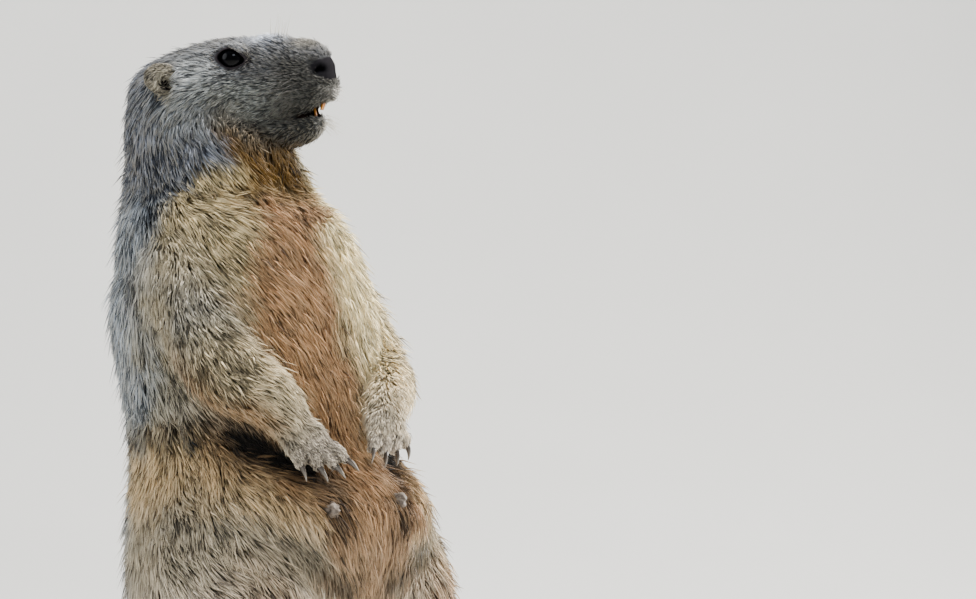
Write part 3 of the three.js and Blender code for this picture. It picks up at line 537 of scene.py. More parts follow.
def shape_face(points):
    """Lids, sockets, nostrils, lips and ear cups, as moves of the skin's points."""
    p = points.copy()
    for side in SIDES.values():
        reach = eye_reach(p, side)
        along, out, up = to_head(p)
        ball_out = EYE_OUT + np.sqrt(np.maximum(EYE_RADIUS**2 - along**2 - up**2, 0))
        inside = reach < FAR
        sink = fade(reach, 1.06, 0.94) * inside
        lid = np.maximum(ball_out + 0.75 - out * side, 0) * (hill((reach - 1.16) / 0.13) * inside)
        hollow = hill((reach - 1.75) / 0.35) * inside * 0.5
        move = np.minimum(ball_out - 2.6 - out * side, 0) * sink + (lid - hollow) * (1 - sink)
        p += head_left * side * move[:, None]
    along, out, up = to_head(p)
    for side in SIDES.values():
        # Each nostril is a comma on the side of the nose, with a raised wing over it
        a, o, curl = by_nostril(along, out, up, side)
        hole = np.exp(-((a / 3.4) ** 2 + (o / 5) ** 2 + (curl / 1.7) ** 2) * 1.2)
        p -= head_forward * (1.2 * hole)[:, None] + head_left * side * (3.6 * hole)[:, None]
        p += head_left * side * hill(a / 4, o / 5, (curl - 3) / 1.5)[:, None]
    groove = hill(out / 0.8) * fade(along, 46, 50) * fade(up, 0, -5)
    p -= head_forward * (1.3 * groove)[:, None]
    along, out, up = to_head(p)
    lip, chin = lip_levels(along)
    gape = fade(along, 37, 40.5) * fade(up, lip + 0.2, lip - 0.8) * fade(up, chin - 0.2, chin + 0.8)
    p -= head_left * (0.92 * out * gape)[:, None]
    for turn, middle in EARS.values():
        x, y, z = ((p - middle) @ turn).T
        reach = ((x - 2.6) / 5.6) ** 2 + ((z + 3.2) / 4.8) ** 2
        near = (np.abs(x) < EAR_RADIUS + 2) & (np.abs(z) < EAR_RADIUS + 2) & (y > -1.5) & (y < 6)
        cup = 4.2 - 5.4 * np.sqrt(np.clip(1 - reach, 0, 1))
        p += np.outer(np.where(near & (reach < 1), np.minimum(cup - y, 0), 0), turn[:, 1])
    p[:, 2] = np.maximum(p[:, 2], FLOOR_GAP)
    return p


subdivide(skin, lambda p: nearest_eye(p) < 2.4, 2)
set_points(skin, shape_face(points_of(skin)))

# Where a point is on the body


def line_of(tables, depths, count=18):
    """A limb's middle line: points, radii, tangents, place counted in tables, and the skin's depth."""
    rows = [stations(table, count) for table in tables]
    share = np.tile(np.arange(count), len(tables)) / count
    return SimpleNamespace(
        points=np.concatenate([r[:, :3] for r in rows]),
        radii=np.concatenate([r[:, 3:5].mean(1) for r in rows]),
        tangents=np.concatenate([unit(np.gradient(r[:, :3], axis=0)) for r in rows]),
        part=np.repeat(np.arange(len(tables)), count) + share,
        depth=np.repeat([DEPTH[name] for name in depths], count),
    )


LIMBS = {}
for name, side in SIDES.items():
    paw = PAWS[name]
    ends = (paw.wrist, paw.knuckles, sum(finger[2] for finger in paw.fingers) / 4)
    tables = (UPPER_ARM[name], FOREARM[name], rows_of(ends, ((12, 9), (13, 7), (13, 4))))
    LIMBS["arm_" + name] = line_of(tables, ("upper_arm", "forearm", "hand"))
    tables = [mirrored(table, side) for table in (THIGH, SHANK, FOOT + [[90, 57, 5, 16, 4]])]
    LIMBS["leg_" + name] = line_of(tables, ("thigh", "shank", "foot"))
LIMBS["tail"] = line_of((TAIL,), ("tail",), 30)


def nearest_on(points, line):
    """The signed distance to a limb's furred surface and the index of the nearest station."""
    best = np.full(len(points), 1e9)
    index = np.zeros(len(points), int)
    for k, (centre, radius) in enumerate(zip(line.points, line.radii)):
        distance = np.linalg.norm(points - centre, axis=1) - radius
        closer = distance < best
        best[closer] = distance[closer]
        index[closer] = k
    return best, index


def trunk_place(points):
    """The angle round the trunk from the belly in degrees, and the signed distance to its furred surface."""
    z, levels = points[:, 2], TRUNK_FINE[:, 0]
    x, y, deep, wide = (np.interp(z, levels, TRUNK_FINE[:, i]) for i in (1, 2, 3, 4))
    dx, dy = points[:, 0] - x, points[:, 1] - y
    share = np.sqrt((dx / deep) ** 2 + (dy / wide) ** 2)
    above = np.maximum(z - levels[-1], 0) + np.maximum(levels[0] - z, 0)
    return np.degrees(np.arctan2(dy / wide, dx / deep)), (share - 1) * np.minimum(deep, wide) + above


def beyond(along, table):
    """How far before the first or after the last station of a table."""
    return np.maximum(along - table[-1, 0], 0) + np.maximum(table[0, 0] - along, 0)


def head_place(points):
    """The signed distances to the head's and the jaw's furred surfaces."""
    along, out, up = to_head(points)
    top, bottom, widest, half = (np.interp(along, HEAD_FINE[:, 0], HEAD_FINE[:, i]) for i in (1, 2, 3, 4))
    reach = np.where(up > widest, top - widest, widest - bottom)
    share = np.abs((up - widest) / reach) ** HEAD_ROUNDNESS + np.abs(out / half) ** HEAD_ROUNDNESS
    skull = (share ** (1 / HEAD_ROUNDNESS) - 1) * np.minimum(reach, half) + beyond(along, HEAD_FINE)
    level, wide, deep = (np.interp(along, JAW[:, 0], JAW[:, i]) for i in (1, 2, 3))
    share = np.sqrt(((up - level) / deep) ** 2 + (out / wide) ** 2)
    return skull, (share - 1) * np.minimum(deep, wide) + beyond(along, JAW)


def near_line(angle, z, start, end, width):
    """How near, 0 to 1, to a line on the trunk between two places given as angle and height."""
    p = np.stack([np.radians(angle) * TRUNK_RADIUS, z], axis=1)
    a, b = (np.array([math.radians(spot[0]) * TRUNK_RADIUS, spot[1]]) for spot in (start, end))
    share = np.clip(((p - a) @ (b - a)) / ((b - a) @ (b - a)), 0, 1)
    return hill(np.linalg.norm(p - a - share[:, None] * (b - a), axis=1) / width)


def fold(name, angle, z, spread=1.0):
    """How deep in a fold of either side, 0 to 1."""
    start, end, width = FOLDS[name][:3]
    flipped = [(-spot[0], spot[1]) for spot in (start, end)]
    width *= spread
    return np.maximum(near_line(angle, z, start, end, width), near_line(angle, z, *flipped, width))


def between_fingers(paw, points, normals):
    """How deep between the fingers of a forepaw, 0 to 1."""
    away = []
    for root, _, tip in paw.fingers:
        way = unit(tip - root)
        offset = points - root
        aside = offset - np.outer(offset @ way, way)
        away.append(np.linalg.norm(aside - np.outer(aside @ paw.back, paw.back), axis=1))
    ahead = (points - paw.knuckles) @ unit(paw.fingers[1][2] - paw.fingers[1][0])
    gap = fade(np.min(away, axis=0), 2.3, 3.7) * fade(ahead, -5, 0) * fade(ahead, 22, 16)
    return gap * fade(normals @ paw.back, -0.4, 0.1) * (np.max(away, axis=0) < 32)


def places(points, normals):
    """Everything that the lie, the size and the colour of the coat depend on."""
    at = SimpleNamespace(points=points, normals=normals, z=points[:, 2], tangent={}, part={})
    at.angle, trunk = trunk_place(points)
    at.along, at.out, at.up = to_head(points)
    skull, jaw = head_place(points)
    near = {"trunk": trunk + DEPTH["trunk"], "head": skull + DEPTH["head"], "jaw": jaw + DEPTH["jaw"]}
    for name, line in LIMBS.items():
        distance, index = nearest_on(points, line)
        near[name] = distance + line.depth[index]
        at.tangent[name] = line.tangents[index]
        at.part[name] = line.part[index]
    weights = np.exp(-(np.clip(np.stack(list(near.values())), 0, 40) ** 2) / (2 * BLUR**2)) + 1e-9
    at.on = dict(zip(near, weights / weights.sum(0)))
    at.between = {name: between_fingers(PAWS[name], points, normals) for name in SIDES}
    at.eye = nearest_eye(points)
    at.ear, at.cup, at.streak, at.nostril, at.halo = np.zeros((5, len(points)))
    for side in SIDES.values():
        turn, middle = EARS[side]
        x, y, z = ((points - middle) @ turn).T
        size = np.sqrt((x / 12) ** 2 + (y / 6.5) ** 2 + (z / 11) ** 2)
        at.ear = np.maximum(at.ear, fade(size, 1.25, 0.8))
        reach = np.sqrt(((x - 3.2) / 4.9) ** 2 + ((z + 3.6) / 4.3) ** 2)
        at.cup = np.maximum(at.cup, fade(reach, 1.2, 0.6) * (y > -3) * (y < 4.2) * (size < 1))
        ahead, rise = at.along - 8.5, at.up + 0.3 * (at.along - 9)
        reach = np.sqrt((ahead / 5) ** 2 + (rise / 4.2) ** 2) + (at.out * side < 10)
        at.streak = np.maximum(at.streak, fade(reach, 1.2, 0.5))
        a, o, curl = by_nostril(at.along, at.out, at.up, side)
        reach = (a / 3.6) ** 2 + (o / 6) ** 2 + (curl / 2.1) ** 2
        at.nostril = np.maximum(at.nostril, fade(reach, 1.3, 0.6))
    edge = 42.5 + np.where(at.up > -4, 0.25, 0.16) * (at.up + 4) ** 2
    groove = hill(at.out / 2.2) * 5
    below = fade(at.up, -13.5 - groove, -11.5 - groove)
    at.pad = fade(at.along, edge - 1, edge + 1.5) * below * at.on["head"]
    lip, chin = lip_levels(at.along)
    lips = fade(at.up, lip + 0.5, lip - 0.5) * fade(at.up, chin - 0.5, chin + 0.5)
    at.mouth = fade(at.along, 30, 35) * fade(at.along, 50.5, 49) * lips
    at.folds = {name: fold(name, at.angle, at.z) * at.on["trunk"] for name in FOLDS}
    # A wider band round the fold under the arm, laid in rust: partly the fur's own rust colour, partly
    # painted shade under the arm
    at.rusty = fold("under_arm", at.angle, at.z, 1.9) * at.on["trunk"]
    for y, z in TEATS.values():
        angle = math.degrees(math.asin(y / TRUNK_RADIUS))
        at.halo = np.maximum(at.halo, near_line(at.angle, at.z, (angle, z), (angle, z + 3), 9))
    return at


def painted(tone, *layers):
    """A colour with further tones laid over it, each by its weight."""
    for name, weight in layers:
        tone = tone + (TONE[name] - tone) * weight[:, None]
    return tone


def markings(at):
    """The coat's colour, the share of dark hairs and the paleness of the tips, at places of the body."""
    # The colour made here holds painted light and shade, noted where each is laid
    angle, z, along, up, on = at.angle, at.z, at.along, at.up, at.on
    ragged = 22 * (noise(at.points, 8, 3) - 0.5) + 20 * (noise(at.points, 24, 4) - 0.5)
    away = np.abs(angle) + ragged
    level = z + 0.6 * ragged
    edge = np.interp(z, [200, 250, 300, 319, 330, 340, 350, 362], [104, 97, 86, 74, 48, 34, 16, -20])
    rear = fade(away, edge - 12, edge + 14) * fade(level, 165, 220)
    rump = fade(away, 116, 158) * fade(level, 50, 130) * 0.85
    belly_edge = np.interp(z, [95, 162, 190, 270, 311, 330], [20, 36, 46, 46, 34, 26])
    # The chest's left side, away from the camera, gets cream below: partly the fur's own cream, partly
    # painted rim light
    left = fade(angle + 0.5 * ragged - 40 * fade(level, 296, 312), -6, 22) * fade(angle, 110, 70)
    trunk = painted(
        TONE["flank"],
        ("shoulder", fade(level, 205, 270) * fade(away, 104, 78)),
        ("hip", fade(level, 128, 150) * fade(level, 200, 176) * fade(away, 145, 110)),
        ("thigh", fade(level, 158, 124)),
        ("haunch", fade(level, 125, 85)),
        ("back", np.maximum(rear, rump)),
        ("nape", fade(away, edge - 10, edge + 10) * fade(level, 296, 332)),
        ("belly", fade(away, belly_edge + 10, belly_edge - 10) * fade(level, 330, 304)),
        ("low", fade(away, belly_edge + 12, belly_edge - 10) * fade(level, 170, 120) * 0.85),
        # The throat's ochre is partly the fur's own colour, partly painted shade under the jaw
        ("throat", fade(np.abs(angle - 8 + ragged), 48, 24) * fade(level, 306, 330)),
        # Cream on the chest's far side: partly the fur's own colour, partly painted rim light
        ("cream_and_rim_light", left * fade(level, 180, 215) * 0.85),
    )
    lip = fade(along, 45, 50) * fade(up, -13, -18) * fade(up, -32, -26)
    head = painted(
        TONE["crown"],
        ("face", fade(up + 0.3 * ragged, -4, -20)),
        # The brow's lighter, bluish patch is painted top light
        ("brow_top_light", hill((along - 17) / 10, (up - 15) / 7)),
        ("temple", hill((along + 17) / 13, (up + 9) / 9) * 0.8),
        # The muzzle's dark tone on its sides is partly the fur's own grey, partly painted shade away from the
        # top light
        ("muzzle", fade(along + 0.2 * ragged, 6, 34) * fade(up, 9, -4) * 0.9),
        # Under the cheeks and jaw the same dark tone is painted shade under the head
        ("muzzle", fade(up + 0.2 * ragged, -28, -44) * fade(along, -20, 8) * 0.7),
        # The paler top of the muzzle is partly its own pale fur, partly painted top light
        ("nose_bridge_and_top_light", fade(along, 28, 38) * fade(along, 49, 43) * fade(up, 3, 9) * 0.7),
        ("lip", lip * (0.35 + 0.65 * fade(along, 48, 54))),
        ("nape", fade(along + 0.4 * ragged, -30, -50) * 0.8),
        # The throat's tone under the head is partly the fur's own ochre, partly painted shade under the jaw
        ("throat", fade(up + 0.15 * ragged, -45, -50) * fade(along, -16, 0) * 0.85),
        ("lip", fade(along, 42, 48) * fade(up, -26, -31) * on["jaw"] * 0.8),
    )
    arm = TONE["arm"]
    leg = painted(
        TONE["thigh"],
        ("haunch", fade(level, 125, 85)),
        ("low", on["leg_right"] * 0.75 * fade(np.abs(angle), 78, 42)),
        ("belly", on["leg_left"] * 0.75 * fade(np.abs(angle), 80, 50)),
    )
    elbow = 0
    for name in SIDES:
        part, weight = at.part["arm_" + name], on["arm_" + name]
        sleeve, paw, finger = fade(part, 0.75, 0.35), fade(part, 1.3, 2.0), fade(part, 2.2, 2.5)
        arm = painted(arm, ("sleeve", sleeve * weight), ("paw", paw * weight))
        arm = painted(arm, ("finger", finger * weight * 0.8))
        leg = painted(leg, ("paw", fade(at.part["leg_" + name], 1.8, 2.2) * on["leg_" + name]))
        elbow = np.maximum(elbow, hill((part - 0.85) / 0.35) * weight)
    # The arm's downward-facing side is laid in rust: partly the fur's own ochre, partly painted shade on the
    # underside
    underside = fade(-at.normals[:, 2], -0.2, 0.5)
    part = at.part["arm_right"]
    arm = painted(arm, ("rust", underside * 0.8 * fade(part, 1.9, 1.4) * fade(part, 0.2, 0.6)))
    # Between the fingers the near-black hollow tone is painted shade
    arm = painted(arm, *(("hollow", between * 0.85) for between in at.between.values()))
    arms, legs = on["arm_left"] + on["arm_right"], on["leg_left"] + on["leg_right"]
    heads = on["head"] + on["jaw"]
    parts = ((trunk, on["trunk"]), (arm, arms), (leg, legs), (head, heads), (TONE["tail"], on["tail"]))
    tone = sum(colour * weight[:, None] for colour, weight in parts)
    # The far (left) arm is made 40 per cent lighter, painted rim light; the near (right) forearm and forepaw
    # 12 per cent darker
    tone = tone * (1 + 0.4 * on["arm_left"] - 0.12 * on["arm_right"] * fade(part, 1.0, 1.4))[:, None]
    # Each fold is painted dark along its line, painted shade in the crease; the throat's fold takes the
    # throat's tone
    folds = []
    for name, amount in at.folds.items():
        shade = np.minimum(amount * FOLDS[name][4] * 1.45, 1)
        folds.append(("throat" if name == "throat" else "hollow", shade))
    tone = painted(
        tone,
        # Rust round the fold under the arm: partly fur colour, partly painted shade
        ("rust", at.rusty * 0.85),
        *folds,
        ("hollow", at.halo * 0.7),
        ("ear", at.ear * 0.8),
        # The ear's cup is painted near black with the mouth's tone: painted shade inside the ear
        ("mouth", at.cup),
        ("lid", np.maximum(fade(at.eye, 1.5, 1.2), at.streak * 0.9)),
        ("black", fade(at.eye, 1.12, 1.0)),
        ("bare", at.pad),
        # The nostrils' dips are painted black: painted shade in the nostrils
        ("black", at.nostril),
        # The gap between the lips is painted near black: partly dark lip skin, partly painted shade in the
        # gap
        ("mouth", at.mouth),
    )
    dark = (
        0.13 * on["trunk"]
        + 0.06 * on["trunk"] * fade(z, 180, 200)
        + 0.15 * on["trunk"] * fade(away, 36, 60)
        + 0.30 * heads
        + 0.16 * arms
        + 0.32 * elbow
        + 0.28 * legs
        + 0.25 * on["tail"]
    ) * (0.3 + 1.4 * noise(at.points, 12, 8)) + 0.4 * at.halo
    pale = 0.30 + 0.35 * on["trunk"] * fade(away, 40, 70) + 0.25 * arms + 0.3 * legs + 0.1 * heads
    # Fewer pale tips where shade is painted: round the fold under the arm, on the muzzle's sides and at the
    # throat
    pale *= 1 - 0.8 * at.rusty - 0.6 * on["head"] * fade(along, 8, 30) * fade(up, 8, 0)
    pale *= 1 - 0.8 * at.folds["under_arm"]
    pale *= 1 - 0.9 * fade(np.abs(angle - 10), 50, 34) * fade(z, 306, 324) * on["trunk"]
    return tone, dark, pale


def lie(at):
    """Which way the hair lies."""
    angle, on = np.radians(at.angle), at.on
    round_belly = np.stack([np.sin(angle), -np.cos(angle), 0 * angle], axis=1)  # towards a lower angle
    front = fade(np.abs(at.angle), 150, 40)
    sweep = np.sin(np.clip(angle, -2.2, 2.2)) * (0.2 + 0.75 * front) * fade(at.z, 60, 150)
    trunk = -UP + round_belly * sweep[:, None]
    drop = fade(at.along, -8, -46) * 0.9 + fade(at.up, -14, -44) * 0.55
    head = -head_forward - UP * drop[:, None]
    jaw = -head_forward - UP * 0.35
    way = trunk * on["trunk"][:, None] + head * on["head"][:, None] + jaw * on["jaw"][:, None]
    for part in ("arm_left", "arm_right", "leg_left", "leg_right"):
        way += at.tangent[part] * on[part][:, None]
    hangs = on["arm_left"] * fade(at.part["arm_left"], 0.8, 1.2)
    way -= (at.tangent["arm_left"] * 0.6 + UP * 0.8) * hangs[:, None]
    way += at.tangent["tail"] * on["tail"][:, None]
    wander, frizz = (
        np.stack([noise(at.points, size, seed) - 0.5 for seed in seeds], axis=1)
        for size, seeds in ((13, (11, 12, 13)), (4, (14, 15, 16)))
    )
    way = unit(way) + 0.55 * wander + 0.4 * frizz
    way -= at.normals * (way * at.normals).sum(1, keepdims=True)
    return unit(way)


def coat_size(at):
    """Length of a tuft, its width, how far its tip stands over the skin, and the tufts to an area."""
    z, along, up, on = at.z, at.along, at.up, at.on

    def part_of(kind):
        names = [f"{kind}_{name}" for name in SIDES]
        return sum(at.part[n] * on[n] for n in names) / np.maximum(sum(on[n] for n in names), 1e-6)

    arm, leg = part_of("arm"), part_of("leg")
    face = fade(along, -34, 4)
    muzzle = fade(along, 14, 42)
    length = {
        "trunk": 12.5 + 4.5 * fade(z, 330, 290),
        "head": 9.0 - 3.6 * face - 2.6 * muzzle + 2.5 * fade(up, -24, -44) * (1 - muzzle),
        "jaw": 5.0 - 2 * muzzle,
        "arm": 13 - 3.5 * fade(arm, 0.7, 1.5) - 6 * fade(arm, 1.5, 2.1) - 1.2 * fade(arm, 2.1, 2.5),
        "leg": 16 - 4 * fade(leg, 0.9, 1.5) - 8 * fade(leg, 1.5, 2.1),
        "tail": 26,
    }
    width = {
        "trunk": 1.05,
        "head": 0.86 - 0.2 * face - 0.12 * muzzle,
        "jaw": 0.65,
        "arm": 1.05 - 0.4 * fade(arm, 1.2, 2.1),
        "leg": 1.12 - 0.4 * fade(leg, 1.3, 2.1),
        "tail": 1.5,
    }
    lift = {
        "trunk": 5.2,
        "head": 2.6 - 1.2 * face,
        "jaw": 1.6,
        "arm": 5.0 - 1.8 * fade(arm, 0.8, 1.4) - 2.0 * fade(arm, 1.5, 2.1) - 0.4 * fade(arm, 2.1, 2.5),
        "leg": 5.2 - 1.4 * fade(leg, 0.9, 1.4) - 2.4 * fade(leg, 1.6, 2.1),
        "tail": 6.5,
    }
    density = {
        "trunk": 1.0,
        "head": 1.5 + 1.5 * face + 0.4 * muzzle,
        "jaw": 2.2,
        "arm": 1.0 + 1.0 * fade(arm, 1.2, 2.1),
        "leg": 0.8 + 0.7 * fade(leg, 1.3, 2.1),
        "tail": 0.8,
    }
    tables = (length, width, lift, density)
    length, width, lift, density = (sum(table[n.split("_")[0]] * on[n] for n in on) for table in tables)
    bare = np.maximum.reduce([at.pad, fade(at.eye, 1.32, 1.2), at.mouth, at.cup * 0.5])
    keep = (1 - bare) * fade(z, 1.5, 4)
    short = 1 - 0.55 * at.ear
    near_eye = 1 - 0.5 * fade(at.eye, 2.6, 1.3)
    return length * short * near_eye, width * (0.75 + 0.25 * short), lift * short * near_eye, density * keep


def folded(points, normals):
    """The skin's points drawn into the trunk's folds."""
    amounts = places(points, normals).folds.items()
    return points - normals * sum(amount * FOLDS[name][3] for name, amount in amounts)[:, None]


set_points(skin, folded(points_of(skin), read(skin.data.vertices, "normal", 3)))

# The coat

TUFTS = 138000
CLUMP = 7  # tufts that lean together at their tips
STRAYS = 0.06  # the share of tufts that stand out
PATCH = 0.003  # of a tuft on the unwrap
PIECE_TUFTS = 19000
MIDDLE = 0.45  # where a tuft bends
TUFT_POINTS = 7

bpy.context.view_layer.objects.active = skin
skin.select_set(True)
bpy.ops.object.mode_set(mode="EDIT")
bpy.ops.mesh.select_all(action="SELECT")
bpy.ops.uv.smart_project(angle_limit=math.radians(66), island_margin=0.004)
bpy.ops.object.mode_set(mode="OBJECT")
skin.select_set(False)
skin.data.uv_layers[0].name = "OFBake"

skin_points = points_of(skin)
skin_normals = read(skin.data.vertices, "normal", 3)
skin_uv = read(skin.data.uv_layers["OFBake"].uv, "vector", 2)
skin.data.calc_loop_triangles()
corners, loops = (read(skin.data.loop_triangles, key, 3, np.int32) for key in ("vertices", "loops"))

rng = np.random.default_rng(SEED)
skin_at = places(skin_points, skin_normals)
a, b, c = (skin_points[corners[:, i]] for i in range(3))
area = np.linalg.norm(np.cross(b - a, c - a), axis=1) / 2
chance = area * coat_size(skin_at)[3][corners].mean(1)
chosen = np.sort(rng.choice(len(corners), TUFTS, p=chance / chance.sum()))
u, v = rng.random(TUFTS), rng.random(TUFTS)
flip = u + v > 1
u[flip], v[flip] = 1 - u[flip], 1 - v[flip]
share = np.stack([1 - u - v, u, v], axis=1)[..., None]
roots = (skin_points[corners[chosen]] * share).sum(1)
root_normals = unit((skin_normals[corners[chosen]] * share).sum(1))
root_uv = (skin_uv[loops[chosen]] * share).sum(1)

at = places(roots, root_normals)
length, width, lift, _ = coat_size(at)
way = lie(at)
random = rng.random((TUFTS, 8))
length = length * (0.75 + 0.5 * random[:, 0])
lift = lift * (0.72 + 0.62 * random[:, 1])
lift[rng.random(TUFTS) > 1 - STRAYS] *= 1.9
way = unit(way + np.cross(root_normals, way) * (0.5 * (random[:, 2:3] - 0.5)))

tree = BVHTree.FromPolygons(skin_points.tolist(), corners.tolist())


def laid(points, normals):
    """The nearest points of the skin, and its normals there."""
    place, direction = np.empty_like(points), np.empty_like(normals)
    for i, p in enumerate(points):
        place[i], direction[i] = tree.find_nearest(Vector(p))[:2]
    flipped = (direction * normals).sum(1) < 0
    direction[flipped] = normals[flipped]
    return place, direction


middle, middle_normals = laid(roots + way * (length * MIDDLE)[:, None], root_normals)
onward = unit(middle - roots)
onward = unit(onward - middle_normals * (onward * middle_normals).sum(1, keepdims=True))
tip, tip_normals = laid(middle + onward * (length * (1 - MIDDLE))[:, None], middle_normals)
root = roots - root_normals * 0.5
middle = middle + middle_normals * (lift * 0.52)[:, None]
tip = tip + tip_normals * lift[:, None]

# Neighbours lean together into pointed clumps
leaders = rng.choice(TUFTS, TUFTS // CLUMP, replace=False)
finder = KDTree(len(leaders))
for i, leader in enumerate(leaders):
    finder.insert(roots[leader], i)
finder.balance()
leader_of = leaders[np.array([finder.find(r)[1] for r in roots])]
aside = roots[leader_of] - roots
pull = (0.15 + 0.4 * random[:, 3]) * fade(np.linalg.norm(-aside, axis=1), 9, 2)
goal = roots + (tip[leader_of] - roots[leader_of]) + aside * 0.85
tip = tip + (goal - tip) * (pull * 0.8)[:, None]
middle = middle + aside * (pull * 0.25)[:, None]
for spots, lowest in ((root, 0.2), (middle, 0.5), (tip, 0.4)):
    spots[:, 2] = np.maximum(spots[:, 2], lowest)

tone, dark, pale = markings(at)
clump_random = random[leader_of, 4]
is_dark = (random[:, 5] * 0.7 + clump_random * 0.3) < dark
on_hand = sum(fade(at.part[arm], 1.8, 2.2) * at.on[arm] for arm in ("arm_left", "arm_right"))
contrast = 1 + 0.35 * (at.on["head"] + at.on["jaw"]) + 0.6 * on_hand + 0.35 * fade(roots[:, 2], 155, 120)
brightness = 1.08 + contrast * (0.54 * (random[:, 6] - 0.5) + 0.62 * (clump_random - 0.5))
tone = tone * brightness[:, None]
tone[is_dark] *= 0.3
pale = np.where(is_dark, 0.0, pale * (0.3 + 1.2 * random[:, 7]))

side_root = unit(np.cross(middle - root, root_normals))
side_middle = unit(np.cross(tip - root, middle_normals))
half = (width * (0.7 + 0.6 * random[:, 2]) / 2)[:, None]
verts = [root + side_root * half, root + root_normals * half * 0.9, root - side_root * half]
verts += [middle + way_out * half * 0.9 for way_out in (side_middle, middle_normals, -side_middle)]
verts = np.stack([*verts, tip], axis=1)
verts[..., 2] = np.maximum(verts[..., 2], 0.15)
ALONG = np.array([0, 0, 0, MIDDLE, MIDDLE, MIDDLE, 1.0])
AROUND = np.array([0, 0.5, 1, 0, 0.5, 1, 0.5])
TRIANGLES = np.array([
    [2, 1, 0], [0, 1, 4], [0, 4, 3], [1, 2, 5], [1, 5, 4],
    [2, 0, 3], [2, 3, 5], [3, 4, 6], [4, 5, 6], [5, 3, 6],
])
uv_spot = root_uv[:, None] + (np.stack([AROUND, ALONG], axis=1)[None] - 0.5) * PATCH


def attribute(mesh, name, values):
    """Gives a mesh's points a number or a colour each."""
    colour = values.ndim > 1
    if colour:
        values = np.concatenate([values, np.ones((len(values), 1))], axis=1)
    layer = mesh.attributes.new(name, "FLOAT_COLOR" if colour else "FLOAT", "POINT")
    layer.data.foreach_set("color" if colour else "value", values.astype(np.float32).ravel())


def coat_piece(name, picked):
    """One joined mesh of the picked tufts."""
    count = len(picked)
    place = (verts[picked].reshape(-1, 3) + OFFSET) * METRES
    index = (TRIANGLES[None] + TUFT_POINTS * np.arange(count)[:, None, None]).reshape(-1)
    mesh = bpy.data.meshes.new(name)
    mesh.vertices.add(count * TUFT_POINTS)
    mesh.vertices.foreach_set("co", place.ravel())
    mesh.loops.add(len(index))
    mesh.loops.foreach_set("vertex_index", index.astype(np.int32))
    mesh.polygons.add(len(index) // 3)
    mesh.polygons.foreach_set("loop_start", np.arange(0, len(index), 3, dtype=np.int32))
    mesh.update(calc_edges=True)
    mesh.shade_smooth()
    layer = mesh.uv_layers.new(name="OFBake")
    layer.uv.foreach_set("vector", uv_spot[picked].reshape(-1, 2)[index].astype(np.float32).ravel())
    attribute(mesh, "coat_colour", np.repeat(tone[picked], TUFT_POINTS, axis=0))
    attribute(mesh, "coat_along", np.tile(ALONG, count))
    attribute(mesh, "coat_tip", np.repeat(pale[picked], TUFT_POINTS))
    return linked(bpy.data.objects.new(name, mesh))


strongest = np.stack(list(at.on.values())).argmax(0)
main_part = np.array(list(at.on))[strongest]
kind = np.array([name.split("_")[0] for name in at.on])[strongest]
paw = np.zeros(TUFTS, bool)
for name, line_part in at.part.items():
    if name != "tail":
        paw |= (main_part == name) & (line_part > 2)
is_head = np.isin(kind, ["head", "jaw"]) | ((kind == "trunk") & (roots[:, 2] > 318))
groups = {
    "head": (is_head, "coat_head"),
    "body": ((kind == "trunk") & ~is_head, "coat_body"),
    "arms": ((kind == "arm") & ~paw, "coat_limb"),
    "legs": ((kind == "leg") & ~paw, "coat_limb"),
    "paws": (paw, "coat_paw"),
    "tail": (kind == "tail", "coat_tail"),
}
coat = []
for name, (mask, slot) in groups.items():
    picked = np.nonzero(mask)[0]
    for i, part in enumerate(np.array_split(picked, max(1, math.ceil(len(picked) / PIECE_TUFTS)))):
        coat.append((coat_piece(f"fur_{name}_{i + 1}", part), slot))

attribute(skin.data, "coat_colour", markings(skin_at)[0])
bare = np.maximum.reduce([skin_at.pad, fade(skin_at.eye, 1.3, 1.15), skin_at.mouth * 0.8])
attribute(skin.data, "bare", bare)

# Materials


